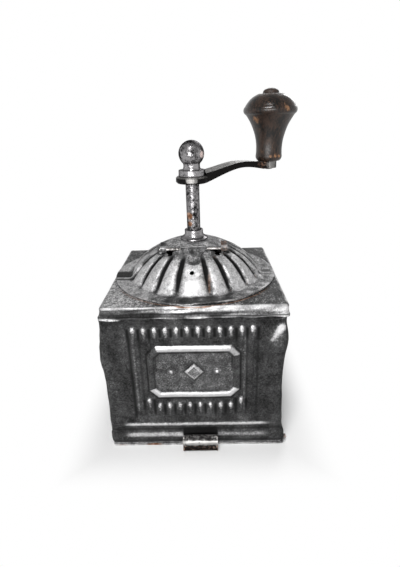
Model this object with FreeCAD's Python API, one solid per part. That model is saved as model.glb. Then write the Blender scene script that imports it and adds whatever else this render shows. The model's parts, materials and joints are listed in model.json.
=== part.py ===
# Hand cranked box coffee mill: square embossed sheet box, fluted dome lid with a
# hinged front flap, upright shaft with ball nut, offset crank and turned wooden knob.
# Millimetres, +Z up, front towards -Y. Origin: centre of the base's underside,
# on the shaft's axis.
import FreeCAD, Part
import math
import os

# Sheet metal and running fits
sheet = 0.9               # every pressed sheet
seat_gap = 0.05           # between pieces that are slipped together
run_gap = 0.05            # radial clearance of a shaft in its bearing
free_gap = 0.3            # between pieces that pass each other

# Box
box_w = 120.0             # top of the cover, side length
cover_top = 113.0         # height of the cover over the table
cover_corner = 2.5
rim_h = 7.5               # folded rim of the cover
rim_flare = 1.5           # its foot stands this far outside its top edge
side_out = 1.2            # box sides lie this far outside the cover's top edge
base_out = 1.8            # base sticks out this far beside the box
shoulder_drop = 6.5       # walls are drawn in from here up, under the cover
shoulder_h = 2.0
base_t = 1.0
base_corner = 3.0
base_lip_h = 6.0          # upstand of the base inside the walls
face_inset = 1.0          # front and back faces lie this far inside the cover's edge
body_corner = 3.0
seam_w = 7.0              # lap seam up the back

# Drawer
slide_gap = 0.25          # front panel's flanges over the side walls
panel_corner = 3.0        # upright edges of the front panel
panel_foot_r = 5.0        # its rounded bottom corners
panel_wrap = 12.0         # how far its flanges reach back
tray_side_gap = 0.35      # between the tray's hem and its guides
tray_room = 5.5           # over the tray, under the adjusting screw
tray_back_gap = 5.0       # behind the tray when it is shut
tray_hem = 0.8
tray_hem_h = 3.0
guide_foot = 9.0          # foot of each guide strip
guide_h = 5.0

# Embossing of the front panel, and the plinth mouldings round the box
emboss_x = -1.25          # the pressing sits a little left of centre
plinth_up = 0.4           # plain edge under the plinth
plinth_half = 5.9
plinth_rise = 1.0
ridge_up = 11.2           # ridge over the plinth, middle to middle
ridge_half = 1.9
top_bead_drop = 1.5       # top bead below the panel's upper edge
top_bead_half = 1.2
bead_rise = 0.8
flute_count = 12
flute_pitch = 7.1
flute_half = 1.8
flute_rise = 1.0
flute_margin = 6.9        # from the ridge's middle, and from the panel's upper edge
flute_clear = 4.6         # plain strip between the flutes and the cartouche
flute_follow = 0.6        # how steeply the flutes' ends follow its cut corners
cart_up = 1.65            # cartouche's middle over the middle of the flutes
cart_half_w = 31.75
cart_half_h = 21.0
cart_cut = 7.5            # cut corners
cart_bead = 5.0
cart_rise = 1.4
cart_slope = 1.5
lozenge_half = 6.5
lozenge_rise = 0.8
boss_x = 15.5
boss_r = 2.6

# Pull tab: a strip under the tray, rolled up in front
tab_w = 23.3
tab_x = 1.35
tab_reach = 8.4           # in front of the panel
tab_h = 10.0
tab_roll = 3.4            # outer radius of its bends
tab_tail = 30.0           # length under the tray
tab_rivet_r = 1.5
tab_rivet_pitch = 13.0

# Dome and flap
flange_edge = 0.5         # flange edge inside the cover's edge
flange_w = 10.3
flange_fillet = 3.0
dome_rise = 28.0
flute_half_step = 14.5    # half the front lobe, degrees
lobe_step = 18.0          # lobes of the flap, degrees
lobe_turn = -2.0          # the pressing is turned a little
flap_lobes = 4            # grooves each side of the front lobe
rear_grooves = 12
groove_from = 24.0        # degrees from the crown
groove_to = 56.0
groove_half = 2.3         # half width of a groove at its middle
groove_extra = 0.5        # depth beyond the chord
parting_back = 4.5        # flap reaches this far behind the hinge pin
parting_gap = 0.3
pin_y = -17.0
pin_sink = 1.6            # pin's axis below the dome's surface
pin_r = 1.0
knuckle_half = 8.5
ear_from = 18.0
ear_w = 6.0
notch_gap = 1.0           # outside the ears
relief_x = 16.5
relief_r = 2.0
tongue_foot = 4.0         # width of the tongue at its lower end
tongue_len = 18.0
tongue_rise = 0.9
lost_hole_r = 1.6         # rivet hole of the missing pull
lost_hole_y = -38.0
lost_hole_x = -1.0
flange_rivet_r = 1.5
flange_rivet_turn = 30.0  # degrees between the rear flange's rivets
flange_rivet_in = 5.5     # in from the flange's edge

head_share = 1.7          # radius of every rivet's and screw's head, over its shank's
nut_sides = 6

# Hopper and mill under the cover
feed_in = 23.0            # feed opening's edge in from the flange's edge
funnel_flange = 10.0
funnel_foot_r = 20.0
mill_screw_in = 5.5       # screws outside the feed opening
mill_screw_r = 2.0
mill_arms = 3
mill_turn = 90.0          # direction of the first arm, degrees
burr_drop = 23.0          # outer burr's top under the cover's top
burr_h = 18.0
burr_r = 22.0
throat_r = 14.5
throat_up = 8.0           # throat over the outer burr's foot
burr_mouth_r = 19.0
burr_foot_r = 18.2
burr_gap = 0.9
teeth = 16
tooth_depth = 0.9
tooth_twist = 24.0        # degrees from foot to top
cone_top_r = 8.5
cone_over = 2.0           # cone reaches above and below the outer burr
frame_wall = 4.5
frame_foot_up = 2.0       # ring's foot over the outer burr's foot
frame_ring_h = 12.0
arm_wall = 9.0
lug_r = 5.0
bridge_w = 12.0
bridge_t = 4.0
bridge_drop = 18.0        # bridge under the frame's ring
bridge_screw_r = 1.9
hub_r = 7.5
hub_h = 10.0
plug_r = 3.9
plug_h = 3.8
thumb_r = 11.0
thumb_t = 4.5
thumb_notches = 8
thumb_notch_r = 1.8
lock_nut_r = 7.0
lock_nut_h = 3.0
lift_play = 0.8           # between the lock nut and the bridge

# Shaft, collar, crank and knob
shaft_r = 4.8
square = 6.6              # both squares on the shaft
thread_r = 3.0
thread_bevel = 0.6
tip_r = 1.6
tip_flat_r = 0.5
burr_nut_h = 4.0
burr_nut_r = 5.6
collar_flange_r = 9.9
collar_seat = 2.2         # flat seat on the crown outside the flange
collar_rim_h = 1.4        # upright edge of the flange
collar_flange_h = 4.1     # with the flare over it
collar_r = 6.65
collar_h = 3.1
collar_dip = 0.6          # hollow of the collar's flare
collar_bevel = 0.5
collar_stem_r = 6.2
collar_nut_r = 10.5
collar_nut_h = 4.0
hub_seat = 67.1           # arm's hub over the cover
hub_ring_r = 11.3
hub_ring_h = 4.6
hub_bevel = 1.0
nut_flange_r = 9.25
nut_flange_h = 4.2
nut_bevel = 0.35
nut_neck_r = 6.0
neck_dip = 0.3            # hollow of the nut's neck
ball_r = 8.75
ball_up = 14.8            # ball's centre over the nut's foot
crank_r = 65.0            # throw of the crank
crank_turn = 28.0         # degrees from +X at rest
arm_root_in = 4.0         # arm's bar reaches this far into its hub
arm_root_w = 15.0
arm_root_up = 3.3         # middle of the bar over the hub's foot, at its root
arm_root_t = 6.6
arm_rise_up = 7.3         # the same about a quarter of the way to the knob
arm_rise_t = 4.4
arm_crest_up = 9.8        # half way
arm_crest_t = 3.9
arm_fall_up = 9.1         # where it starts to level out
arm_fall_t = 4.3
arm_end_w = 10.0
arm_end_t = 4.8
arm_end_up = 5.5          # underside of the arm's end over the hub's foot
boss_end_r = 6.0
spindle_r = 2.5
spindle_head_r = 4.6
spindle_head_h = 1.2
knob_lift = 0.3
knob_h = 45.6
knob_r = 19.4
knob_foot_r = 8.0
knob_neck_r = 9.8
knob_rim_up = 35.3        # widest place over the knob's foot
knob_crown_r = 9.1        # flat of the crown round the cap
cap_r = 5.7
cap_h = 3.8
cap_crown = 1.2           # height of its domed top
cap_round = 0.8           # how far its rounded side swells
well_r = 5.0              # counterbore under the cap
well_h = 9.0

V = FreeCAD.Vector
UP = V(0, 0, 1)
half = box_w / 2
face_y = half - face_inset
wall_y = face_y - sheet - slide_gap
side_x = half + side_out
wall_x = side_x - sheet - slide_gap
neck_x = half - 2 * sheet - slide_gap
base_x = side_x + base_out
wall_top = cover_top - sheet
shoulder_z = cover_top - shoulder_drop
panel_foot = base_t + free_gap
panel_top = cover_top - rim_h - 2 * free_gap
plinth_z = panel_foot + plinth_up + plinth_half
ridge_z = plinth_z + ridge_up
flutes_bottom = ridge_z + flute_margin
flutes_top = panel_top - flute_margin
cart_z = (flutes_bottom + flutes_top) / 2 + cart_up
floor_z = base_t + free_gap + sheet
plate_y = -face_y + sheet
tray_w = 2 * (wall_x - 3 * sheet - tray_hem - tray_side_gap)

flange_r = half - flange_edge
dome_foot_r = flange_r - flange_w
dome_r = (dome_foot_r ** 2 + dome_rise ** 2) / (2 * dome_rise)
dome_z = cover_top + dome_rise - dome_r
pin_z = dome_z + math.sqrt(dome_r ** 2 - pin_y ** 2) - pin_sink
parting_y = pin_y + parting_back
notch_half = ear_from + ear_w + notch_gap
seat_r = collar_flange_r + collar_seat
seat_z = dome_z + math.sqrt(dome_r ** 2 - seat_r ** 2)
pin_rise = pin_z - cover_top
flap_lift = math.hypot(pin_rise, parting_back) - pin_rise + free_gap
knuckle_r = pin_r + run_gap + sheet
knuckle_room = knuckle_r + free_gap

feed_r = flange_r - feed_in
burr_top = cover_top - burr_drop
burr_foot = burr_top - burr_h
throat_z = burr_foot + throat_up
ring_foot = burr_foot + frame_foot_up
ring_r = burr_r + frame_wall
screw_head_r = head_share * bridge_screw_r
lug_x = ring_r + screw_head_r + free_gap
pad_r = feed_r + mill_screw_in
cone_foot = burr_foot - cone_over
cone_top = burr_top + cone_over
bridge_foot = ring_foot - bridge_drop
hub_foot = bridge_foot - (hub_h - bridge_t) / 2
hub_top = hub_foot + hub_h
tip_z = hub_top + free_gap
thumb_top = hub_foot - lift_play - lock_nut_h
thumb_foot = thumb_top - thumb_t
tray_top = thumb_foot - tray_room

hub_z = cover_top + hub_seat
nut_z = hub_z + hub_ring_h
arm_end_z = hub_z + arm_end_up
boss_top = arm_end_z + arm_end_t
knob_z = boss_top + knob_lift
knob_x = crank_r * math.cos(math.radians(crank_turn))
knob_y = crank_r * math.sin(math.radians(crank_turn))


def block(x0, y0, z0, x1, y1, z1):
    """Box between two corners."""
    return Part.makeBox(x1 - x0, y1 - y0, z1 - z0, V(x0, y0, z0))


def rod(r, z0, z1, x=0.0, y=0.0):
    """Upright cylinder."""
    return Part.makeCylinder(r, z1 - z0, V(x, y, z0))


def cross_rod(r, x0, x1, y, z):
    """Cylinder along X."""
    return Part.makeCylinder(r, x1 - x0, V(x0, y, z), V(1, 0, 0))


def outline(place, start, *steps):
    """Closed face: each step is a point, or a (through, end) pair for an arc."""
    edges = []
    here = place(*start)
    for step in steps + (start,):
        if isinstance(step[0], tuple):
            through, end = place(*step[0]), place(*step[1])
            edges.append(Part.Arc(here, through, end).toShape())
        else:
            end = place(*step)
            if (end - here).Length > 1e-6:
                edges.append(Part.LineSegment(here, end).toShape())
        here = end
    return Part.Face(Part.Wire(edges))


def on_xz(x, z):
    return V(x, 0, z)


def on_xy(x, y):
    return V(x, y, 0)


def on_yz(y, z):
    return V(0, y, z)


def turned(start, *steps):
    """Solid of revolution about the shaft's axis, from an outline of (radius, z)."""
    return outline(on_xz, start, *steps).revolve(V(0, 0, 0), UP, 360)


def cap(r, z, h):
    """Arc step from radius r at height z to the top of a shallow dome on the axis."""
    ball = (r * r + h * h) / (2 * abs(h))
    lean = math.asin(r / ball) / 2
    drop = math.copysign(ball * (1 - math.cos(lean)), h)
    return (ball * math.sin(lean), z + h - drop), (0, z + h)


def polygon_prism(corners, r, z0, z1, x=0.0, y=0.0, turn=0.0):
    """Upright regular prism with its corners at radius r."""
    points = []
    for i in range(corners):
        a = math.radians(turn + 360.0 * i / corners)
        points.append(V(x + r * math.cos(a), y + r * math.sin(a), z0))
    return Part.Face(Part.makePolygon(points + points[:1])).extrude(V(0, 0, z1 - z0))


def square_bar(side, z0, z1):
    return block(-side / 2, -side / 2, z0, side / 2, side / 2, z1)


def round_slab(x0, y0, x1, y1, r, z0, z1):
    """Upright slab with four rounded corners."""
    slab = block(x0, y0, z0, x1, y1, z1)
    corners = []
    for edge in slab.Edges:
        a, b = edge.Vertexes[0].Point, edge.Vertexes[1].Point
        if abs(a.x - b.x) < 1e-6 and abs(a.y - b.y) < 1e-6:
            corners.append(edge)
    return slab.makeFillet(r, corners)


def spun(shape, degrees, centre=V(0, 0, 0), axis=UP):
    """Copy of a shape, turned about an axis."""
    copy = shape.copy()
    copy.rotate(centre, axis, degrees)
    return copy


def shifted(shape, x=0.0, y=0.0, z=0.0):
    """Copy of a shape, moved."""
    copy = shape.copy()
    copy.translate(V(x, y, z))
    return copy


def at_knob(shape):
    """Moves a shape from the shaft's axis to the knob's."""
    return shifted(shape, knob_x, knob_y)


# Embossing

def lens_bar(length, half_w, rise):
    """Upright bar with a lens section, its flat on the plane y = 0, bulging to -Y."""
    root = sheet / 4
    section = outline(on_xy, (-half_w, 0), ((0, -rise), (half_w, 0)), (half_w, root), (-half_w, root))
    return section.extrude(V(0, 0, length))


def lying_bar(x0, x1, z, half_w, rise, face):
    """The same bar lying along X on the plane y = face."""
    bar = lens_bar(x1 - x0, half_w, rise)
    bar.rotate(V(0, 0, 0), V(0, 1, 0), 90)
    return shifted(bar, x0, face, z)


def moulding_bars(x0, x1, face):
    """Plinth, ridge and top bead on a wall whose outside is the plane y = face."""
    top_z = panel_top - top_bead_drop
    return [
        lying_bar(x0, x1, plinth_z, plinth_half, plinth_rise, face),
        lying_bar(x0, x1, ridge_z, ridge_half, bead_rise, face),
        lying_bar(x0, x1, top_z, top_bead_half, bead_rise, face),
    ]


def flute_bars():
    """Upright flutes of the front, broken where the cartouche lies."""
    bars = []
    for i in range(flute_count):
        off = (i - (flute_count - 1) / 2) * flute_pitch
        past_cut = max(0, abs(off) - (cart_half_w - cart_cut))
        room = cart_half_h + flute_clear - flute_follow * past_cut
        spans = [(flutes_bottom, cart_z - room), (cart_z + room, flutes_top)]
        if abs(off) > cart_half_w + flute_half:
            spans = [(flutes_bottom, flutes_top)]
        for low, high in spans:
            bar = lens_bar(high - low, flute_half, flute_rise)
            bars.append(shifted(bar, emboss_x + off, -face_y, low))
    return bars


def pressed(wall, bars, inward):
    """Raises the bars on a sheet wall and hollows them from behind."""
    hollows = [shifted(bar, *(inward * sheet)) for bar in bars]
    return wall.fuse(bars).cut(hollows).removeSplitter()


def octagon(half_w, half_h, cut, y):
    """Cut-cornered wire of the cartouche on the plane y."""
    corners = []
    for sx, sz, flip in ((1, 1, 0), (-1, 1, 1), (-1, -1, 0), (1, -1, 1)):
        side = V(emboss_x + sx * half_w, y, cart_z + sz * (half_h - cut))
        end = V(emboss_x + sx * (half_w - cut), y, cart_z + sz * half_h)
        corners += [end, side] if flip else [side, end]
    return Part.makePolygon(corners + corners[:1])


def cartouche():
    """Raised cut-cornered frame with sloped sides, round a plain field."""
    foot, crest = -face_y + sheet / 2, -face_y - cart_rise
    tan_cut = cart_slope * (2 - math.sqrt(2))
    outer = Part.makeLoft([
        octagon(cart_half_w, cart_half_h, cart_cut, foot),
        octagon(cart_half_w - cart_slope, cart_half_h - cart_slope, cart_cut - tan_cut, crest),
    ], True, True)
    in_w, in_h = cart_half_w - cart_bead, cart_half_h - cart_bead
    in_cut = cart_cut - cart_bead * (2 - math.sqrt(2))
    inner = Part.makeLoft([
        octagon(in_w, in_h, in_cut, foot),
        octagon(in_w + cart_slope, in_h + cart_slope, in_cut + tan_cut, crest),
    ], True, True)
    return outer.cut(inner)


def ornament():
    """Plain lozenge between two round bosses in the middle of the field."""
    face = -face_y + sheet / 4
    rise = lozenge_rise + sheet / 4
    corners = [(lozenge_half, 0), (0, lozenge_half), (-lozenge_half, 0), (0, -lozenge_half)]
    points = [V(emboss_x + x, face, cart_z + z) for x, z in corners]
    shapes = [Part.Face(Part.makePolygon(points + points[:1])).extrude(V(0, -rise, 0))]
    for side in (-1, 1):
        centre = V(emboss_x + side * boss_x, face, cart_z)
        shapes.append(Part.makeCone(boss_r, boss_r / 2, rise, centre, V(0, -1, 0)))
    return shapes


# Box

def base_plate():
    """Square bottom sheet with an upstand inside three walls."""
    plate = round_slab(-base_x, -half, base_x, half, base_corner, 0, base_t)
    lip_x = wall_x - sheet
    lip_y = face_y - sheet
    end_y = -wall_y + sheet + panel_wrap
    for side in (-1, 1):
        x0, x1 = sorted((side * lip_x, side * (lip_x - sheet)))
        plate = plate.fuse(block(x0, end_y, base_t, x1, lip_y - body_corner, base_t + base_lip_h))
    back = block(body_corner - lip_x, lip_y - sheet, base_t, lip_x - body_corner, lip_y,
                 base_t + base_lip_h)
    return plate.fuse(back).removeSplitter()


def wall_ring(x, z, inset):
    """Level outline of the walls at half width x, drawn in by inset."""
    r = body_corner - inset / 2
    slab = round_slab(inset - x, inset - wall_y, x - inset, face_y - inset, r, z, z + sheet)
    low = [e for e in slab.Edges if max(v.Z for v in e.Vertexes) < z + 1e-6]
    return Part.Wire(Part.__sortEdges__(low))


def box_form(inset, top):
    """Solid inside the walls' outline, with its sides drawn in under the cover."""
    rings = [
        wall_ring(wall_x, base_t, inset), wall_ring(wall_x, shoulder_z, inset),
        wall_ring(neck_x, shoulder_z + shoulder_h, inset), wall_ring(neck_x, top, inset),
    ]
    return Part.makeLoft(rings, True, True)


def body_shell():
    """Wrapped sheet box with a drawer opening in front and a lap seam behind."""
    wall = box_form(0, wall_top).cut(box_form(sheet, wall_top))
    mouth_x = tray_w / 2 + tray_hem + free_gap
    wall = wall.cut(block(-mouth_x, -half, base_t, mouth_x, -wall_y + 2 * sheet, tray_top + free_gap))
    wall = wall.cut(block(-base_x, -half, base_t, base_x, -wall_y + sheet, base_t + free_gap))
    side_from = -wall_y + panel_wrap
    side_to = face_y - body_corner
    sides = []
    for turn in (-90, 90):
        ends = sorted((turn / 90 * side_from, turn / 90 * side_to))
        sides += [spun(bar, turn) for bar in moulding_bars(ends[0], ends[1], -wall_x)]
    wall = pressed(wall, sides[:3], V(1, 0, 0))
    wall = pressed(wall, sides[3:], V(-1, 0, 0))
    back_x = wall_x - body_corner
    back = [spun(bar, 180) for bar in moulding_bars(-back_x, back_x, -face_y)]
    wall = pressed(wall, back, V(0, -1, 0))
    seam_foot = ridge_z + 2 * ridge_half
    seam_head = panel_top - top_bead_drop - 2 * top_bead_half
    seam = block(-seam_w / 2, face_y, seam_foot, seam_w / 2, face_y + sheet, seam_head)
    return wall.fuse(seam)


def flared_block(foot, low, top_half, top, r):
    """Square block with rounded corners that widens downwards to the half width foot."""
    rings = []
    for reach, z in ((foot, low), (top_half, top)):
        slab = round_slab(-reach, -reach, reach, reach, r, z, z + sheet)
        edges = [e for e in slab.Edges if max(v.Z for v in e.Vertexes) < z + 1e-6]
        rings.append(Part.Wire(Part.__sortEdges__(edges)))
    return Part.makeLoft(rings, True, True)


def top_cover():
    """Square cover with a flared rim and the round feed opening."""
    low = cover_top - rim_h
    slab = flared_block(half + rim_flare, low, half, cover_top, cover_corner)
    in_top = half - sheet + rim_flare * sheet / rim_h
    hollow = flared_block(half + rim_flare - sheet, low, in_top, wall_top, cover_corner - sheet)
    cover = slab.cut(hollow).cut(rod(feed_r + sheet, wall_top, cover_top))
    cover = cover.cut([mill_screw(a, seat_gap) for a in mill_angles()])
    holes = [rivet_hole(a) for a in flange_rivet_angles()]
    return cover.cut(holes)


# Dome

def dome_skin(flange_foot):
    """Outline of the dome's sheet, with its flange lying at flange_foot."""
    flange_top = flange_foot + sheet
    fillet_z = flange_top + flange_fillet
    reach = dome_r + flange_fillet
    fillet_x = math.sqrt(reach ** 2 - (fillet_z - dome_z) ** 2)
    lean = math.atan2(fillet_z - dome_z, fillet_x)
    crown = math.acos(seat_r / dome_r)

    def sphere_at(r, angle):
        return (r * math.cos(angle), dome_z + r * math.sin(angle))

    def fillet_at(r, angle):
        return (fillet_x - r * math.cos(angle), fillet_z - r * math.sin(angle))

    mid = (lean + crown) / 2
    turn = (lean + math.pi / 2) / 2
    inner = dome_r - sheet
    in_fillet = flange_fillet + sheet
    hole = collar_stem_r + seat_gap
    in_crown = math.acos(seat_r / inner)
    in_seat = dome_z + inner * math.sin(in_crown)
    return (
        (hole, seat_z), (seat_r, seat_z),
        (sphere_at(dome_r, mid), sphere_at(dome_r, lean)),
        (fillet_at(flange_fillet, turn), (fillet_x, flange_top)),
        (flange_r, flange_top), (flange_r, flange_foot), (fillet_x, flange_foot),
        (fillet_at(in_fillet, turn), sphere_at(inner, lean)),
        (sphere_at(inner, mid), (seat_r, in_seat)),
        (hole, in_seat),
    )


def groove(azimuth, grow):
    """Straight V bar along a chord of the dome, on the lobe line at this azimuth."""
    low, high = math.radians(groove_to), math.radians(groove_from)
    start = V(0, -dome_r * math.sin(high), dome_z + dome_r * math.cos(high))
    end = V(0, -dome_r * math.sin(low), dome_z + dome_r * math.cos(low))
    along = (end - start).normalize()
    out = V(0, along.z, -along.y)
    if out.z < 0:
        out = out * -1
    depth = dome_r * (1 - math.cos((low - high) / 2)) + groove_extra
    wide = groove_half / depth
    apex = -groove_extra - grow * math.sqrt(1 + wide ** 2) / wide
    top = depth
    side = V((top - apex) * wide, 0, 0)
    corners = [start + out * apex, start + out * top + side, start + out * top - side]
    bar = Part.Face(Part.makePolygon(corners + corners[:1])).extrude(end - start)
    return spun(bar, azimuth)


def groove_azimuths():
    """Groove lines round the dome, degrees from the front towards +X."""
    front, rear = [], []
    for i in range(flap_lobes):
        off = flute_half_step + lobe_step * i
        front += [lobe_turn + off, lobe_turn - off]
    first = lobe_turn + flute_half_step + lobe_step * flap_lobes
    span = 360 - 2 * (first - lobe_turn)
    for i in range(rear_grooves):
        rear.append(first + span * i / (rear_grooves - 1))
    return front + rear


def fluted_dome(flange_foot):
    """The whole pressed dome as one sheet, to be cut into its two halves."""
    skin = dome_skin(flange_foot)
    shell = turned(*skin)
    filled = turned((0, flange_foot), (0, skin[0][1]), *skin[1:6])
    backs = [groove(a, sheet).common(filled) for a in groove_azimuths()]
    cuts = [groove(a, 0) for a in groove_azimuths()]
    return shell.fuse(backs).cut(cuts)


def hinge_notch(half_w, reach):
    """Space round the hinge line, from reach in front of the pin."""
    return block(-half_w, pin_y - reach, seat_z - dome_rise / 2, half_w, 0, pin_z + dome_rise)


def dome_rear():
    """Fixed half: rear of the dome, crown, hinge ears and half of the flange."""
    behind = block(-half, parting_y + parting_gap / 2, cover_top, half, half, cover_top + 2 * dome_rise)
    crown = block(-notch_half + free_gap, pin_y + knuckle_room, cover_top + dome_rise / 2,
                  notch_half - free_gap, 0, cover_top + 2 * dome_rise)
    shell = fluted_dome(cover_top).common(behind.fuse(crown))
    ear_r = knuckle_r
    for side in (-1, 1):
        x0, x1 = sorted((side * ear_from, side * (ear_from + ear_w)))
        crown_z = dome_z + math.sqrt(dome_r ** 2 - ear_from ** 2 - parting_y ** 2)
        lug = block(x0, pin_y, crown_z - 2 * sheet, x1, parting_y + sheet, pin_z)
        under = block(x0, pin_y, crown_z - 4 * sheet, x1, pin_y + ear_r, crown_z - 2 * sheet)
        shell = shell.fuse([lug, cross_rod(ear_r, x0, x1, pin_y, pin_z)]).cut(under)
    shell = shell.cut(cross_rod(pin_r + seat_gap, -notch_half, notch_half, pin_y, pin_z))
    return shell.cut([rivet_hole(a) for a in flange_rivet_angles()])


def tongue():
    """Wedge that runs from the knuckle down the front lobe."""
    top_y = pin_y - knuckle_r / 2
    low_y = pin_y - tongue_len
    shape = outline(on_xy, (-knuckle_half, top_y), (-tongue_foot / 2, low_y),
                    (tongue_foot / 2, low_y), (knuckle_half, top_y))
    prism = shifted(shape.extrude(V(0, 0, 2 * dome_rise)), z=cover_top)
    outer = Part.makeSphere(dome_r + tongue_rise, V(0, 0, dome_z))
    inner = Part.makeSphere(dome_r - sheet, V(0, 0, dome_z))
    return prism.common(outer).cut(inner)


def dome_flap():
    """Hinged front half: lobes, flange, tongue and knuckle."""
    front = block(-half, -half, cover_top, half, parting_y - parting_gap / 2, cover_top + 2 * dome_rise)
    shell = fluted_dome(cover_top + flap_lift).common(front)
    shell = shell.cut(hinge_notch(notch_half, knuckle_room + parting_gap))
    knuckle = cross_rod(knuckle_r, -knuckle_half, knuckle_half, pin_y, pin_z)
    bridge = block(-knuckle_half, pin_y - knuckle_room - 2 * sheet, pin_z - knuckle_r,
                   knuckle_half, pin_y, pin_z)
    bridge = bridge.common(Part.makeSphere(dome_r, V(0, 0, dome_z)))
    shell = shell.fuse([tongue(), bridge, knuckle])
    holes = [cross_rod(pin_r + run_gap, -notch_half, notch_half, pin_y, pin_z)]
    relief_y = pin_y - knuckle_room - parting_gap - relief_r / 2
    for side in (-1, 1):
        holes.append(rod(relief_r, cover_top, cover_top + 2 * dome_rise, side * relief_x, relief_y))
    outward = V(lost_hole_x, lost_hole_y, dome_r)
    holes.append(Part.makeCylinder(lost_hole_r, 2 * dome_r, V(0, 0, dome_z), outward))
    return shell.cut(holes)


def hinge_pin():
    end = ear_from + ear_w + seat_gap
    return cross_rod(pin_r, -end, end, pin_y, pin_z)


def flange_rivet_angles():
    return [90 - flange_rivet_turn, 90, 90 + flange_rivet_turn]


def rivet_spot(angle):
    r = flange_r - flange_rivet_in
    a = math.radians(angle)
    return r * math.cos(a), r * math.sin(a)


def rivet_hole(angle):
    x, y = rivet_spot(angle)
    return rod(flange_rivet_r + seat_gap / 2, wall_top - sheet, cover_top + 2 * sheet, x, y)


def flange_rivets():
    """Rivets of the rear flange, each headed above and below."""
    head_r = head_share * flange_rivet_r
    low, high = wall_top - sheet, cover_top + sheet
    body = turned((0, low), (head_r, low), (head_r, wall_top), (flange_rivet_r, wall_top),
                  (flange_rivet_r, high), (head_r, high), cap(head_r, high, sheet))
    return Part.makeCompound([shifted(body, *rivet_spot(a)) for a in flange_rivet_angles()])


# Hopper and mill

def mill_angles():
    """Directions of the frame's arms."""
    return [mill_turn + 360.0 * i / mill_arms for i in range(mill_arms)]


def mill_screw(angle, gap):
    """Countersunk screw down through the cover and the funnel into the frame."""
    head_r = head_share * mill_screw_r
    cone = cover_top - (head_r - mill_screw_r)
    tip = wall_top - sheet - 4 * mill_screw_r
    r = mill_screw_r + gap
    body = turned((0, tip - gap), (r, tip - gap), (r, cone), (head_r + gap, cover_top), (0, cover_top))
    return spun(shifted(body, pad_r), angle)


def frame_screws():
    return Part.makeCompound([mill_screw(a, 0) for a in mill_angles()])


def hopper_funnel():
    """Cone from the feed opening down to the burrs, under the cover."""
    top, low = wall_top, burr_top + free_gap
    flange = feed_r + funnel_flange
    cone = turned((feed_r, top), (flange, top), (flange, top - sheet), (feed_r + sheet, top - sheet),
                  (funnel_foot_r + sheet, low), (funnel_foot_r, low))
    return cone.cut([mill_screw(a, seat_gap) for a in mill_angles()])


def frame_arm():
    """Cast arm from the ring up to its pad under the funnel's flange."""
    top = wall_top - sheet
    out = feed_r + funnel_flange
    low = ring_foot + frame_ring_h
    inside = feed_r + 2 * sheet + free_gap
    side = outline(on_xz, (burr_r + frame_wall / 2, ring_foot), (ring_r, ring_foot),
                   (out, top - frame_wall * 2), (out, top), (inside, top),
                   (inside, top - frame_wall), (burr_r + frame_wall / 2, low))
    return shifted(side.extrude(V(0, arm_wall, 0)), y=-arm_wall / 2)


def mill_frame():
    """Cast ring that holds the outer burr, with three arms and two lugs."""
    ring_top = ring_foot + frame_ring_h
    frame = rod(ring_r, ring_foot, ring_top)
    arms = [spun(frame_arm(), a) for a in mill_angles()]
    lugs = []
    for side in (-1, 1):
        lugs.append(rod(lug_r, ring_foot, ring_foot + frame_ring_h / 2, side * lug_x))
    frame = frame.fuse(arms + lugs).cut(rod(burr_r + seat_gap, ring_foot - sheet, cover_top))
    holes = [mill_screw(a, seat_gap) for a in mill_angles()]
    for side in (-1, 1):
        holes.append(rod(bridge_screw_r + seat_gap, ring_foot, ring_top, side * lug_x))
    return frame.cut(holes)


def toothed(levels, phase=0.0):
    """Loft through toothed outlines: each level is (z, crest radius, root radius, turn)."""
    wires = []
    for z, crest, root, turn in levels:
        points = []
        for i in range(2 * teeth):
            a = math.radians(turn + phase + 180.0 * i / teeth)
            r = crest if i % 2 == 0 else root
            points.append(V(r * math.cos(a), r * math.sin(a), z))
        wires.append(Part.makePolygon(points + points[:1]))
    return Part.makeLoft(wires, True, True)


def turn_at(z):
    """Helix angle of the teeth at a height."""
    return tooth_twist * (z - cone_foot) / (cone_top - cone_foot)


def outer_burr():
    """Fixed ring: funnel-shaped above the throat, widening to a skirt below it."""
    body = rod(burr_r, burr_foot, burr_top)
    cut = toothed([
        (burr_foot, burr_foot_r, burr_foot_r + tooth_depth, -turn_at(burr_foot)),
        (throat_z, throat_r, throat_r + tooth_depth, -turn_at(throat_z)),
        (burr_top, burr_mouth_r, burr_mouth_r + tooth_depth, -turn_at(burr_top)),
    ])
    return body.cut(cut)


def inner_burr():
    """Toothed cone on the shaft's lower square, with deep feed flutes above the throat."""
    skirt = (burr_foot_r - throat_r) / throat_up
    foot_r = burr_foot_r + skirt * (cone_foot - burr_foot) - burr_gap
    mid_r = throat_r - burr_gap
    cone = toothed([
        (cone_foot, foot_r, foot_r - tooth_depth, turn_at(cone_foot)),
        (throat_z, mid_r, mid_r - 2 * tooth_depth, turn_at(throat_z)),
        (cone_top, cone_top_r, cone_top_r - 2 * tooth_depth, turn_at(cone_top)),
    ])
    return cone.cut(square_bar(square + 2 * seat_gap, cone_foot, cone_top))


def burr_nut():
    nut = polygon_prism(nut_sides, burr_nut_r, cone_foot - burr_nut_h, cone_foot)
    return nut.cut(rod(thread_r + seat_gap, cone_foot - burr_nut_h, cone_foot))


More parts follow.
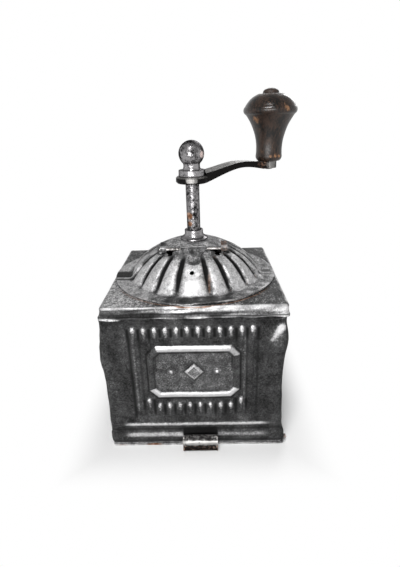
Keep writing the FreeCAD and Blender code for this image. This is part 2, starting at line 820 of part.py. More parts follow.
def lower_bridge():
    """Strap hung under the frame's lugs, with a bored hub for the adjusting screw."""
    leg_x = lug_x + lug_r
    inside = lug_x - bridge_screw_r - bridge_t
    low = bridge_foot
    side = outline(on_xz, (-leg_x, low), (leg_x, low), (leg_x, ring_foot), (inside, ring_foot),
                   (inside - bridge_t / 2, low + bridge_t), (bridge_t / 2 - inside, low + bridge_t),
                   (-inside, ring_foot), (-leg_x, ring_foot))
    strap = shifted(side.extrude(V(0, bridge_w, 0)), y=-bridge_w / 2)
    strap = strap.common(rod(leg_x, low, ring_foot))
    strap = strap.fuse(rod(hub_r, hub_foot, hub_top))
    holes = [rod(plug_r + run_gap, hub_foot, hub_top)]
    for s in (-1, 1):
        holes.append(rod(bridge_screw_r + seat_gap, ring_foot - 2 * bridge_t, ring_foot, s * lug_x))
    return strap.cut(holes)


def bridge_screws():
    """Two cheese-head screws down through the frame's lugs into the bridge."""
    seat = ring_foot + frame_ring_h / 2
    top = seat + bridge_screw_r
    tip = ring_foot - 2 * bridge_t + seat_gap
    body = turned((0, tip), (bridge_screw_r, tip), (bridge_screw_r, seat), (screw_head_r, seat),
                  (screw_head_r, top), (0, top))
    slot = block(-screw_head_r, -sheet / 2, seat + bridge_screw_r / 2, screw_head_r, sheet / 2, top)
    screw = body.cut(slot)
    return Part.makeCompound([shifted(screw, -lug_x), shifted(screw, lug_x)])


def thrust_plug():
    """Hardened plug in the bridge's hub, dished for the shaft's tip."""
    low = tip_z - free_gap - plug_h
    plug = rod(plug_r, low, tip_z - free_gap)
    dish = Part.makeCone(tip_flat_r / 2, tip_r + free_gap, tip_r, V(0, 0, tip_z - free_gap - tip_r))
    return plug.cut(dish)


def adjusting_screw():
    """Thumb screw up into the bridge's hub."""
    head = rod(thumb_r, thumb_foot, thumb_top)
    notches = []
    for i in range(thumb_notches):
        a = math.radians(360.0 * i / thumb_notches)
        x, y = thumb_r * math.cos(a), thumb_r * math.sin(a)
        notches.append(rod(thumb_notch_r, thumb_foot, thumb_top, x, y))
    shank = rod(plug_r - run_gap / 2, thumb_top, tip_z - free_gap - plug_h)
    return head.cut(notches).fuse(shank)


def lock_nut():
    nut = polygon_prism(nut_sides, lock_nut_r, thumb_top, thumb_top + lock_nut_h)
    return nut.cut(rod(plug_r + seat_gap, thumb_top, thumb_top + lock_nut_h))


# Shaft, collar and crank

def main_shaft():
    """Upright shaft: tip, thread and square below, square and thread above."""
    stud_top = nut_z + ball_up - ball_r / 2
    tip_top = tip_z + tip_r
    body = turned((0, tip_z), (tip_flat_r, tip_z), (tip_r, tip_top), (thread_r - thread_bevel, tip_top),
                  (thread_r, tip_top + thread_bevel), (thread_r, cone_foot), (0, cone_foot))
    lower = square_bar(square, cone_foot, cone_top)
    main = rod(shaft_r, cone_top, hub_z)
    upper = spun(square_bar(square, hub_z, nut_z - seat_gap), crank_turn)
    stud = rod(thread_r, nut_z - seat_gap, stud_top)
    return body.fuse([lower, main, upper, stud])


def shaft_collar():
    """Turned collar: flared foot on the crown, plain ring above, stem below."""
    foot = seat_z
    flare_top = foot + collar_flange_h
    top = flare_top + collar_h
    stem = foot - sheet - collar_nut_h - sheet
    bore = shaft_r + run_gap
    waist = (collar_flange_r + collar_r) / 2
    return turned(
        (bore, stem), (collar_stem_r, stem), (collar_stem_r, foot), (collar_flange_r, foot),
        (collar_flange_r, foot + collar_rim_h),
        ((waist - collar_dip, (foot + collar_rim_h + flare_top) / 2), (collar_r, flare_top)),
        (collar_r, top - collar_bevel), (collar_r - collar_bevel, top), (bore, top),
    )


def collar_nut():
    """Nut on the collar's stem, under the crown."""
    in_r = dome_r - sheet
    high = dome_z + in_r * math.sin(math.acos(seat_r / in_r)) - seat_gap
    low = high - collar_nut_h
    nut = polygon_prism(nut_sides, collar_nut_r, low, high)
    return nut.cut(rod(collar_stem_r + seat_gap, low, high))


def arm_bar():
    """Curved bar from the hub, over a hump, to the end boss."""
    root = hub_ring_r - arm_root_in
    span = crank_r - root
    # share of the way to the knob, middle height over the hub's foot, thickness
    stations = ((0, arm_root_up, arm_root_t), (0.28, arm_rise_up, arm_rise_t),
                (0.52, arm_crest_up, arm_crest_t), (0.73, arm_fall_up, arm_fall_t))
    level_x = crank_r - knob_foot_r - free_gap
    edges = []
    for side in (1, -1):
        points = [V(root + s * span, 0, hub_z + m + side * t / 2) for s, m, t in stations]
        end_z = arm_end_z + arm_end_t * (1 + side) / 2
        points.append(V(level_x, 0, end_z))
        curve = Part.BSplineCurve()
        curve.interpolate(points)
        edges.append(curve.toShape())
        edges.append(Part.LineSegment(points[-1], V(crank_r, 0, end_z)).toShape())
    low_root = V(root, 0, hub_z + arm_root_up - arm_root_t / 2)
    edges.append(Part.LineSegment(low_root, low_root + V(0, 0, arm_root_t)).toShape())
    edges.append(Part.LineSegment(V(crank_r, 0, arm_end_z), V(crank_r, 0, boss_top)).toShape())
    side = Part.Face(Part.Wire(Part.__sortEdges__(edges)))
    bar = shifted(side.extrude(V(0, 2 * arm_root_w, 0)), y=-arm_root_w)
    plan = outline(on_xy, (root, -arm_root_w / 2), (crank_r, -arm_end_w / 2),
                   (crank_r, arm_end_w / 2), (root, arm_root_w / 2))
    prism = shifted(plan.extrude(V(0, 0, dome_rise)), z=hub_z - dome_rise / 4)
    return bar.common(prism).cut(rod(nut_flange_r + free_gap, nut_z, hub_z + dome_rise))


def crank_arm():
    """Round hub, curved bar and end boss."""
    edge_r = hub_ring_r - hub_bevel
    hub = turned((0, hub_z), (edge_r, hub_z), (hub_ring_r, hub_z + hub_bevel),
                 (hub_ring_r, nut_z - hub_bevel), (edge_r, nut_z), (0, nut_z))
    boss = rod(boss_end_r, arm_end_z, boss_top, crank_r)
    arm = hub.fuse([arm_bar(), boss])
    arm = arm.cut([square_bar(square + 2 * seat_gap, hub_z, nut_z),
                   rod(spindle_r + seat_gap, arm_end_z, boss_top, crank_r)])
    return spun(arm, crank_turn)


def ball_nut():
    """Turned nut: flange, hollow neck and ball, tapped from below."""
    flange_top = nut_z + nut_flange_h
    ball_z = nut_z + ball_up
    dip = math.acos(nut_neck_r / ball_r)
    join_z = ball_z - ball_r * math.sin(dip)
    neck_z = (flange_top + join_z) / 2
    well = nut_z + ball_up - ball_r / 2 + seat_gap
    bore = thread_r + seat_gap
    return turned(
        (bore, nut_z), (nut_flange_r - nut_bevel, nut_z), (nut_flange_r, nut_z + nut_bevel),
        (nut_flange_r, flange_top - nut_bevel), (nut_flange_r - nut_bevel, flange_top),
        (nut_neck_r + 2 * nut_bevel, flange_top),
        ((nut_neck_r - neck_dip, neck_z), (nut_neck_r, join_z)),
        ((ball_r, ball_z), (0, ball_z + ball_r)),
        (0, well), (bore, well),
    )


def knob_spindle():
    """Rivet through the arm's end, its shank the knob's axle."""
    top = knob_z + knob_h - well_h + 2 * sheet
    body = turned((0, top), (spindle_r, top), (spindle_r, arm_end_z), (spindle_head_r, arm_end_z),
                  cap(spindle_head_r, arm_end_z, -spindle_head_h))
    return at_knob(body)


def spindle_washer():
    """Washer on the spindle's riveted end, in the knob's counterbore."""
    low = knob_z + knob_h - well_h + free_gap
    ring = rod(well_r - free_gap, low, low + sheet).cut(rod(spindle_r + seat_gap, low, low + sheet))
    return at_knob(ring)


def knob():
    """Turned grip: narrow foot, flared body, rounded rim and shallow crown."""
    top = knob_z + knob_h
    bore = spindle_r + run_gap
    well = top - well_h
    crown = knob_h - knob_rim_up

    def body(share, r):
        """Point between the foot (0) and the rim (1), its radius a share of the neck's."""
        return (r * knob_neck_r, knob_z + share * knob_rim_up)

    def head(share, r):
        """Point between the rim (0) and the top (1), its radius a share of the rim's."""
        return (r * knob_r, knob_z + knob_rim_up + share * crown)

    return at_knob(turned(
        (bore, knob_z), (knob_foot_r, knob_z),
        (body(0.05, 0.965), body(0.13, 0.98)),
        (body(0.47, 1.06), head(-0.31, 0.905)),
        (head(0, 1), head(0.2, 0.95)),
        (head(0.6, 0.8), (knob_crown_r, top)),
        (well_r, top), (well_r, well), (bore, well),
    ))


def knob_cap():
    """Turned button that closes the counterbore."""
    seat = knob_z + knob_h + seat_gap
    stem = seat - well_h / 3
    shoulder = seat + cap_h - cap_crown
    body = turned((0, stem), (well_r - seat_gap, stem), (well_r - seat_gap, seat), (cap_r - cap_round, seat),
                  ((cap_r, (seat + shoulder) / 2), (cap_r - cap_round, shoulder)),
                  cap(cap_r - cap_round, shoulder, cap_crown))
    return at_knob(body)


# Drawer

def drawer_front():
    """Embossed panel whose side flanges wrap over the box's walls."""
    back = -face_y + panel_wrap
    pan = round_slab(-side_x, -face_y, side_x, back + panel_corner, panel_corner, panel_foot, panel_top)
    hollow = round_slab(sheet - side_x, plate_y, side_x - sheet, back + 2 * panel_corner,
                        panel_corner - sheet, panel_foot, panel_top)
    trim = block(-base_x, back, 0, base_x, half, cover_top)
    panel = pan.cut([hollow, trim])
    mask = block(-side_x, -half, panel_foot, side_x, half, panel_top)
    low_edges = []
    for edge in mask.Edges:
        a, b = edge.Vertexes[0].Point, edge.Vertexes[1].Point
        if abs(a.z - panel_foot) < 1e-6 and abs(b.z - panel_foot) < 1e-6 and abs(a.x - b.x) < 1e-6:
            low_edges.append(edge)
    panel = panel.common(mask.makeFillet(panel_foot_r, low_edges))
    reach = side_x - panel_corner
    bars = moulding_bars(-reach, reach, -face_y) + flute_bars()
    panel = pressed(panel, bars, V(0, 1, 0))
    panel = panel.fuse([cartouche()] + ornament())
    notch_x = tab_w / 2 + free_gap
    notch = block(tab_x - notch_x, -half - tab_reach, panel_foot, tab_x + notch_x, back, floor_z + free_gap)
    return panel.cut(notch)


def drawer_tray():
    """Folded tray behind the panel, hemmed round its top."""
    back = face_y - tray_back_gap - sheet
    side = tray_w / 2
    outer = block(-side, plate_y, floor_z, side, back, tray_top)
    hem = block(-side - tray_hem, -wall_y + 2 * sheet, tray_top - tray_hem_h, side + tray_hem,
                back + tray_hem, tray_top)
    inner = block(sheet - side, plate_y + sheet, floor_z + sheet, side - sheet, back - sheet, tray_top)
    tray = outer.fuse(hem).cut(inner)
    return tray.cut([tab_rivet_hole(s) for s in (-1, 1)])


def pull_tab():
    """Strip riveted under the tray, rolled up in front of the panel."""
    low = base_t + free_gap
    high = low + tab_h
    tip = -face_y - tab_reach
    r, q = tab_roll, tab_roll - sheet
    k = math.sqrt(0.5)
    front = tip + r
    end = -face_y - plinth_rise - free_gap
    section = outline(
        on_yz, (plate_y + tab_tail, low), (front, low),
        ((front - r * k, low + r - r * k), (tip, low + r)), (tip, high - r),
        ((front - r * k, high - r + r * k), (front, high)), (end, high), (end, high - sheet),
        (front, high - sheet),
        ((front - q * k, high - r + q * k), (tip + sheet, high - r)), (tip + sheet, low + r),
        ((front - q * k, low + r - q * k), (front, low + sheet)),
        (plate_y + tab_tail, low + sheet),
    )
    tab = shifted(section.extrude(V(tab_w, 0, 0)), x=tab_x - tab_w / 2)
    return tab.cut([tab_rivet_hole(s) for s in (-1, 1)])


def tab_rivet_spot(side):
    return tab_x + side * tab_rivet_pitch / 2, plate_y + tab_tail / 2


def tab_rivet_hole(side):
    x, y = tab_rivet_spot(side)
    return rod(tab_rivet_r + seat_gap / 2, base_t, floor_z + 2 * sheet, x, y)


def tab_rivets():
    """Two rivets, flush below and headed inside the tray."""
    low, high = base_t + free_gap, floor_z + sheet
    head_r = head_share * tab_rivet_r
    body = turned((0, low), (tab_rivet_r, low), (tab_rivet_r, high), (head_r, high),
                  cap(head_r, high, sheet))
    return Part.makeCompound([shifted(body, *tab_rivet_spot(s)) for s in (-1, 1)])


def drawer_guide(side):
    """Angle strip on the base: its foot carries the tray, its wall guides it."""
    lip = wall_x - 2 * sheet
    inner = tray_w / 2 + free_gap
    back = face_y - 2 * sheet - body_corner
    start = -wall_y + panel_wrap
    xs = sorted((side * lip, side * (inner - guide_foot)))
    foot = block(xs[0], start, base_t, xs[1], back, floor_z - free_gap)
    xs = sorted((side * lip, side * max(inner, lip - sheet)))
    return foot.fuse(block(xs[0], start, base_t, xs[1], back, base_t + guide_h))


def build():
    """Every sub-part by its node's name."""
    return {
        "base_plate": base_plate(),
        "body_shell": body_shell(),
        "top_cover": top_cover(),
        "dome_rear": dome_rear(),
        "hinge_pin": hinge_pin(),
        "flange_rivets": flange_rivets(),
        "shaft_collar": shaft_collar(),
        "collar_nut": collar_nut(),
        "hopper_funnel": hopper_funnel(),
        "mill_frame": mill_frame(),
        "frame_screws": frame_screws(),
        "outer_burr": outer_burr(),
        "lower_bridge": lower_bridge(),
        "bridge_screws": bridge_screws(),
        "drawer_guide_left": drawer_guide(-1),
        "drawer_guide_right": drawer_guide(1),
        "thrust_plug": thrust_plug(),
        "adjusting_screw": adjusting_screw(),
        "lock_nut": lock_nut(),
        "main_shaft": main_shaft(),
        "inner_burr": inner_burr(),
        "burr_nut": burr_nut(),
        "crank_arm": crank_arm(),
        "ball_nut": ball_nut(),
        "knob_spindle": knob_spindle(),
        "spindle_washer": spindle_washer(),
        "knob": knob(),
        "knob_cap": knob_cap(),
        "drawer_front": drawer_front(),
        "drawer_tray": drawer_tray(),
        "pull_tab": pull_tab(),
        "tab_rivets": tab_rivets(),
        "dome_flap": dome_flap(),
    }


os.makedirs("parts", exist_ok=True)
for name, shape in build().items():
    shape.exportStep("parts/" + name + ".step")
    print(f"{name}: {len(shape.Solids)} solid(s), {shape.Volume:.1f} mm3, valid {shape.isValid()}")
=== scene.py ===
# Looks of a hand cranked box coffee mill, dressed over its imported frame.
# Metres, +Z up, front towards -Y, origin at the centre of the base's underside.
import cmath
import functools
import json
import math

import bmesh
import bpy
import numpy as np
from mathutils import Matrix, Vector


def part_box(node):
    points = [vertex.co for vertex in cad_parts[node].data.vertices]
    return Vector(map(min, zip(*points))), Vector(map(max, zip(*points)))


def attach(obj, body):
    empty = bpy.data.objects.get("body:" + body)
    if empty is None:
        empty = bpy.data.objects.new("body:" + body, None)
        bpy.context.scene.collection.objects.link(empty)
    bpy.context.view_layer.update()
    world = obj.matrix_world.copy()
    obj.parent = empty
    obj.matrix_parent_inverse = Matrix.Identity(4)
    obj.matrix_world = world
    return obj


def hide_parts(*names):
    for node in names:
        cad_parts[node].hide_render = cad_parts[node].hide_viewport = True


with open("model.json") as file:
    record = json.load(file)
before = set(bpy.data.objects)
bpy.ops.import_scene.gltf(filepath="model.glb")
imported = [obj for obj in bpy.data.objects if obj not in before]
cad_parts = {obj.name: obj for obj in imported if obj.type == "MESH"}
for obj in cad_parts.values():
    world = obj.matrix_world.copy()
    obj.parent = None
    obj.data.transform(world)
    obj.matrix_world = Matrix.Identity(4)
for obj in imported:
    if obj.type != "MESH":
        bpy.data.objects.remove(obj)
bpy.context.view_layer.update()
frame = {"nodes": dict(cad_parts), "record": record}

MM = 0.001
SHEET = 0.9
PANEL_WRAP = 12.0


def span(node):
    """Lowest and highest corner of a CAD node, in millimetres."""
    lo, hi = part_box(node)
    return np.array(lo) / MM, np.array(hi) / MM


def middle_of(node):
    """Middle of a CAD node's box, in millimetres."""
    lo, hi = span(node)
    return (lo + hi) / 2


face_y = span("drawer_front")[1][1] - PANEL_WRAP


def link_object(name, data):
    """New object of some data, linked to the scene."""
    obj = bpy.data.objects.new(name, data)
    bpy.context.scene.collection.objects.link(obj)
    return obj


# Camera at the photograph's place

PHOTO_H, FOCAL_PX, SENSOR = 567, 388.8, 36.0
NEAREST, FARTHEST = 0.01, 20
CAMERA_AT = Vector((0.0091, -0.2784, 0.2199))
YAW, PITCH, ROLL = (math.radians(a) for a in (-1.19, 22.71, -1.70))


def make_camera():
    forward = Vector((math.sin(YAW) * math.cos(PITCH), math.cos(YAW) * math.cos(PITCH), -math.sin(PITCH)))
    right = Vector((math.cos(YAW), -math.sin(YAW), 0))
    up = right.cross(forward)
    across = math.cos(ROLL) * right + math.sin(ROLL) * up
    upward = math.cos(ROLL) * up - math.sin(ROLL) * right
    data = bpy.data.cameras.new("camera")
    data.sensor_width = SENSOR
    data.lens = FOCAL_PX * SENSOR / PHOTO_H
    data.clip_start, data.clip_end = NEAREST, FARTHEST
    camera = link_object("camera", data)
    turn = Matrix((across, upward, -forward)).transposed().to_4x4()
    camera.matrix_world = Matrix.Translation(CAMERA_AT) @ turn
    bpy.context.scene.camera = camera


# Node trees

class Nodes:
    """Short hand for building one node tree."""

    def __init__(self, tree):
        self.tree = tree
        tree.nodes.clear()

    def add(self, kind, **settings):
        node = self.tree.nodes.new(kind)
        for key, value in settings.items():
            setattr(node, key, value)
        return node

    def link(self, value, socket):
        """Feeds a socket from another socket, a number or a colour."""
        if isinstance(value, bpy.types.NodeSocket):
            self.tree.links.new(value, socket)
        elif isinstance(value, tuple) and len(value) == 3 and socket.type == "RGBA":
            socket.default_value = (*value, 1)
        else:
            socket.default_value = value

    def made(self, kind, inputs, output=0, **settings):
        """One output of a new node with some inputs fed, by number or by name."""
        node = self.add(kind, **settings)
        for key, value in inputs.items():
            self.link(value, node.inputs[key])
        return node.outputs[output]

    def math(self, kind, a, b=0.0, clamp=False):
        return self.made("ShaderNodeMath", {0: a, 1: b}, operation=kind, use_clamp=clamp)

    def fold(self, kind, values):
        return functools.reduce(lambda a, b: self.math(kind, a, b), values)

    def plus(self, *values):
        return self.fold("ADD", values)

    def times(self, *values):
        return self.fold("MULTIPLY", values)

    def left_of(self, whole, value):
        """What a value leaves of a whole, kept from 0 to 1."""
        return self.math("SUBTRACT", whole, value, clamp=True)

    def sway(self, noise, strength):
        """Noise moved to lie about zero, times a strength."""
        return self.times(self.math("SUBTRACT", noise, 0.5), strength)

    def mix(self, fac, a, b):
        """Colour mix."""
        return self.made("ShaderNodeMix", {0: fac, 6: a, 7: b}, 2, data_type="RGBA")

    def blend(self, fac, a, b):
        """Number mix."""
        return self.made("ShaderNodeMix", {0: fac, 2: a, 3: b}, data_type="FLOAT")

    def step(self, value, low, high, to_low=0.0, to_high=1.0):
        """Smooth step of a value."""
        inputs = {0: value, 1: low, 2: high, 3: to_low, 4: to_high}
        return self.made("ShaderNodeMapRange", inputs, interpolation_type="SMOOTHSTEP")

    @functools.cached_property
    def where(self):
        """Object coordinates."""
        return self.add("ShaderNodeTexCoord").outputs["Object"]

    @functools.cached_property
    def axes(self):
        """Object coordinates one by one."""
        node = self.add("ShaderNodeSeparateXYZ")
        self.link(self.where, node.inputs[0])
        return node.outputs

    def scaled(self, *scale):
        """Object coordinates, stretched."""
        return self.made("ShaderNodeMapping", {0: self.where, "Scale": scale})

    def noise(self, size_mm, detail=3.0, rough=0.6, vector=None, seed=0.0):
        """Noise with features of about this size, 0 to 1."""
        inputs = {"Vector": vector or self.where, "W": seed, "Scale": 1.0 / (size_mm * MM),
                  "Detail": detail, "Roughness": rough}
        return self.made("ShaderNodeTexNoise", inputs, noise_dimensions="4D")

    def attribute(self, name):
        return self.add("ShaderNodeAttribute", attribute_name=name).outputs["Fac"]

    def near(self, x, y, z, r_mm):
        """1 at a point in millimetres, falling to 0 at radius r."""
        inputs = {0: self.where, 1: (x * MM, y * MM, z * MM)}
        away = self.made("ShaderNodeVectorMath", inputs, "Value", operation="DISTANCE")
        return self.step(away, 0.0, r_mm * MM, 1.0, 0.0)

    def bump(self, height, depth_mm):
        inputs = {"Strength": 1.0, "Distance": depth_mm * MM, "Height": height}
        return self.made("ShaderNodeBump", inputs)


def surface(name):
    """New material and its node helper."""
    material = bpy.data.materials.new(name)
    material.use_nodes = True
    return material, Nodes(material.node_tree)


def finish_surface(n, color, metallic, roughness, normal, **fixed):
    inputs = {"Base Color": color, "Metallic": metallic, "Roughness": roughness, "Normal": normal}
    inputs.update((key.replace("_", " "), value) for key, value in fixed.items())
    n.link(n.made("ShaderNodeBsdfPrincipled", inputs), n.add("ShaderNodeOutputMaterial").inputs[0])


BLACK = (0.006, 0.006, 0.006)
CHARCOAL = (0.085, 0.085, 0.086)
GREY = (0.20, 0.198, 0.20)
BRIGHT = (0.78, 0.775, 0.78)
RUST = (0.13, 0.060, 0.030)
TAN = (0.36, 0.225, 0.165)
PALE = (0.62, 0.50, 0.47)
STAIN = (0.085, 0.05, 0.03)
EDGE_TINT = (0.12, 0.12, 0.12, 1)


def rusted(n, color, fine, blotch, rust):
    """Rust over a colour, broken up by noise; also gives its mask."""
    mask = n.step(n.plus(rust, n.sway(fine, 1.6)), 0.35, 0.75)
    return n.mix(mask, color, n.mix(n.step(blotch, 0.4, 0.6), RUST, TAN)), mask


def blackened(name, seed, bright_rough):
    """Blackened sheet: speckled charcoal, rubbed down to bright steel and painted highlight where it is
    told, blackened by grime and painted shade.
    """
    material, n = surface(name)
    fine = n.noise(0.82, 4.0, 0.82, seed=seed)
    coarse = n.noise(3.4, seed=seed + 1)
    blotch = n.noise(15.0, seed=seed + 2)
    worn, rust, grime, even = (n.attribute(key) for key in ("worn", "rust", "grime", "even"))
    ragged = n.plus(n.sway(fine, 1.7), n.sway(coarse, 0.55))
    tone = n.plus(ragged, n.sway(blotch, 0.6), n.times(worn, 0.9))
    base = n.mix(n.step(tone, -0.30, 0.60), BLACK, CHARCOAL)
    spread = n.times(ragged, n.math("SUBTRACT", 1.0, n.times(even, 0.75)))
    # Bright steel where the painted wear is high: rubbed metal and painted highlight.
    mask = n.step(n.plus(worn, spread), 0.25, 1.0)
    color = n.mix(mask, base, n.mix(n.step(n.plus(spread, 0.5), 0.2, 0.8), GREY, BRIGHT))
    color, rust_mask = rusted(n, color, fine, coarse, rust)
    # Black where the painted grime is high: dirt and painted shade.
    soot_and_shade = n.step(n.plus(grime, n.times(ragged, 0.45)), 0.15, 0.95)
    clean_and_unshaded = n.left_of(1.0, n.times(soot_and_shade, 0.92))
    bare = n.times(mask, n.left_of(1.0, rust_mask))
    rough = n.blend(mask, n.blend(fine, 0.70, 0.50), bright_rough)
    height = n.plus(fine, n.times(coarse, 1.5))
    finish_surface(n, n.mix(clean_and_unshaded, BLACK, color), n.times(bare, clean_and_unshaded, 0.75), rough, n.bump(height, 0.12),
                   Specular_IOR_Level=0.12, Specular_Tint=EDGE_TINT)
    return material


def patinated(name, dark, light, low=0.30, high=0.72, rough=0.26, rust_amount=0.0, spots=(),
              lit_top_shaded_sides=0.0, edge=EDGE_TINT):
    """Turned or forged steel, mottled between dark patina and bright metal, with pits.

    Each spot is a point, a radius and what it does there: rust, tinge, bare or pale.
    """
    material, n = surface(name)
    fine = n.noise(1.3, 4.0, 0.7, seed=4.0)
    blotch = n.noise(5.0, seed=5.0)
    worn = n.attribute("worn")
    rust = n.plus(n.attribute("rust"), rust_amount)
    pale = None
    for x, y, z, r, kind in spots:
        near = n.times(n.near(x, y, z, r), 1.3)
        if kind == "rust":
            rust = n.plus(rust, near)
        elif kind == "tinge":
            rust = n.plus(rust, n.times(near, 0.42))
        elif kind == "pale":
            pale = n.step(n.plus(near, n.sway(fine, 1.6)), 0.35, 0.7)
        else:
            worn = n.plus(worn, n.times(near, 2.5))
    # Painted light: faces turned up are made brighter, faces turned sideways or down darker.
    if lit_top_shaded_sides:
        up = n.made("ShaderNodeSeparateXYZ", {0: n.add("ShaderNodeTexCoord").outputs["Normal"]}, 2)
        worn = n.plus(worn, n.step(up, 0.2, 0.85, -lit_top_shaded_sides, lit_top_shaded_sides))
    mask = n.step(n.plus(fine, n.sway(blotch, 0.7), n.times(worn, 0.3)), low, high)
    pits = n.step(n.noise(1.6, 1.0, 0.5, seed=7.0), 0.67, 0.71)
    color = n.mix(n.times(pits, 0.85), n.mix(mask, dark, light), BLACK)
    color, rust_mask = rusted(n, color, fine, blotch, rust)
    if pale:
        color = n.mix(pale, color, PALE)
        rust_mask = n.math("MAXIMUM", rust_mask, pale)
    metallic = n.left_of(0.95, n.times(rust_mask, 0.8))
    swell = n.noise(2.8, 2.0, 0.5, seed=8.0)
    height = n.plus(n.math("SUBTRACT", n.times(fine, 0.5), pits), n.times(swell, 3.0))
    finish_surface(n, color, metallic, n.blend(mask, rough + 0.12, rough), n.bump(height, 0.09),
                   Specular_Tint=edge)
    return material


# Patches on the knob where the lacquer is rubbed off: a point, a radius and how far
KNOB_PATCHES = ((46.6, 20.1, 220.2, 5.4, 0.75), (66.5, 13.6, 226.5, 5.5, 0.5),
                (60.7, 21.3, 194.5, 2.8, 0.9), (57.3, 20.9, 194.3, 2.4, 0.7),
                (63.8, 23.4, 194.3, 2.4, 0.8))


def lacquered_wood(name):
    """Dark lacquer over turned wood, rubbed brown in places, shinier above and dull on the button."""
    material, n = surface(name)
    grain = n.noise(1.4, 4.0, 0.7, vector=n.scaled(1, 1, 0.3), seed=11.0)
    speck = n.noise(1.1, 3.0, 0.75, seed=12.0)
    blotch = n.noise(11.0, seed=13.0)
    patches = (n.times(n.near(x, y, z, r), share) for x, y, z, r, share in KNOB_PATCHES)
    worn = n.plus(n.attribute("worn"), *patches)
    base = n.mix(n.step(n.plus(grain, n.sway(blotch, 0.9)), 0.36, 0.70),
                 (0.003, 0.0024, 0.0020), (0.034, 0.020, 0.014))
    mask = n.step(n.plus(worn, n.sway(speck, 1.1)), 0.25, 0.95)
    bare = n.mix(n.step(grain, 0.4, 0.6), (0.10, 0.046, 0.020), (0.33, 0.17, 0.085))
    height_m = n.axes[2]
    satin = n.math("MAXIMUM", n.step(height_m, 0.2235, 0.2265, 0.34, 0.20),
                   n.step(height_m, 0.2350, 0.2358, 0.0, 0.5))
    rough = n.blend(mask, n.plus(satin, n.step(speck, 0.4, 0.6, 0.0, 0.06)), 0.55)
    finish_surface(n, n.mix(mask, base, bare), 0.0, rough, n.bump(n.plus(grain, speck), 0.05),
                   Specular_IOR_Level=0.36)
    return material


def cast_iron(name):
    material, n = surface(name)
    grain = n.noise(0.9, 4.0, 0.7, seed=21.0)
    blotch = n.noise(8.0, 2.0, 0.5, seed=22.0)
    color = n.mix(n.step(grain, 0.35, 0.75), (0.022, 0.021, 0.020), (0.085, 0.08, 0.076))
    color = n.mix(n.step(blotch, 0.6, 0.8), color, (0.09, 0.045, 0.025))
    finish_surface(n, color, 0.35, n.blend(grain, 0.5, 0.75), n.bump(grain, 0.25))
    return material


def tinned(name):
    """Dull tinned sheet with coffee stains."""
    material, n = surface(name)
    grain = n.noise(0.8, seed=31.0)
    blotch = n.noise(14.0, 4.0, seed=32.0)
    scratch = n.noise(1.0, 2.0, vector=n.scaled(0.06, 1, 1), seed=33.0)
    color = n.mix(n.step(scratch, 0.35, 0.7), (0.20, 0.19, 0.18), (0.40, 0.385, 0.37))
    color = n.mix(n.step(n.plus(blotch, n.times(grain, 0.3)), 0.62, 0.9), color, STAIN)
    finish_surface(n, color, 0.8, n.blend(blotch, 0.32, 0.6), n.bump(scratch, 0.04))
    return material


SHAFT_SPOTS = ((-3.0, -3.7, 157.4, 4.6, "rust"), (-2.5, -4.1, 151.6, 3.0, "rust"),
               (6.4, -4.1, 199.2, 4.2, "pale"))
ARM_SPOTS = ((51.0, 23.0, 189.5, 11.0, "tinge"), (60.5, 22.0, 188.0, 9.0, "bare"),
             (-0.1, -11.3, 182.8, 4.6, "bare"), (-1.8, -11.2, 182.8, 3.6, "bare"),
             (1.6, -11.2, 182.5, 3.6, "bare"))
materials = {
    "black_sheet": blackened("blackened_sheet", 1.0, 0.38),
    "dome_sheet": blackened("blackened_dome", 40.0, 0.50),
    "shaft_steel": patinated("mottled_steel", (0.006, 0.0056, 0.0058), (0.30, 0.291, 0.297),
                             low=0.34, high=0.68, rough=0.24, spots=SHAFT_SPOTS),
    "arm_steel": patinated("forged_steel", (0.010, 0.009, 0.009), (0.20, 0.194, 0.188), low=0.38, high=0.90,
                           rough=0.42, lit_top_shaded_sides=0.8, edge=(0.8, 0.8, 0.8, 1), spots=ARM_SPOTS),
    "cast_iron": cast_iron("rough_casting"),
    "burr_steel": patinated("hardened_steel", (0.05, 0.046, 0.042), (0.32, 0.31, 0.30), rough=0.4),
    "plain_sheet": tinned("tinned_sheet"),
    "tab_steel": patinated("handled_steel", (0.012, 0.011, 0.011), (0.26, 0.254, 0.248), rough=0.40,
                           rust_amount=0.04),
    "fastener": patinated("old_fastener", (0.05, 0.047, 0.045), (0.38, 0.365, 0.355), rough=0.34),
    "dark_wood": lacquered_wood("lacquered_wood"),
}


def dress(obj, material):
    obj.data.materials.clear()
    obj.data.materials.append(material)


def dress_frame():
    """Gives every CAD node the material of its slot."""
    slots = {row["node"]: row["material_slot"] for row in frame["record"]["subparts"]}
    for name, obj in frame["nodes"].items():
        dress(obj, materials[slots[name]])


# Shares of place, from 0 to 1

def ramp(value, start, length):
    """Smooth rise from 0 at the start to 1 a length further on; a length below 0 makes it fall."""
    t = np.clip((value - start) / length, 0, 1)
    return t * t * (3 - 2 * t)


def hill(value, middle=0, half=1):
    """Round hill: 1 at its middle, 0 from half its width on."""
    return (1 - np.clip(np.abs(value - middle) / half, 0, 1) ** 2) ** 2


def bell(value, width, power=2):
    """Bell curve of a distance."""
    return np.exp(-np.abs(value / width) ** power)


def most(*values):
    """The largest of several values, place by place."""
    return functools.reduce(np.maximum, values)


def waves(a, b, size, seed):
    """Gentle random waviness over two coordinates, about -1 to 1."""
    draw = np.random.default_rng(seed)
    total = np.zeros_like(a, dtype=float)
    for _ in range(7):
        turn, phase = draw.uniform(0, 2 * np.pi, 2)
        length = size * draw.uniform(0.7, 1.6)
        total += np.sin(2 * np.pi * (a * np.cos(turn) + b * np.sin(turn)) / length + phase)
    return total / 3.0


# Sheet shells and cutters

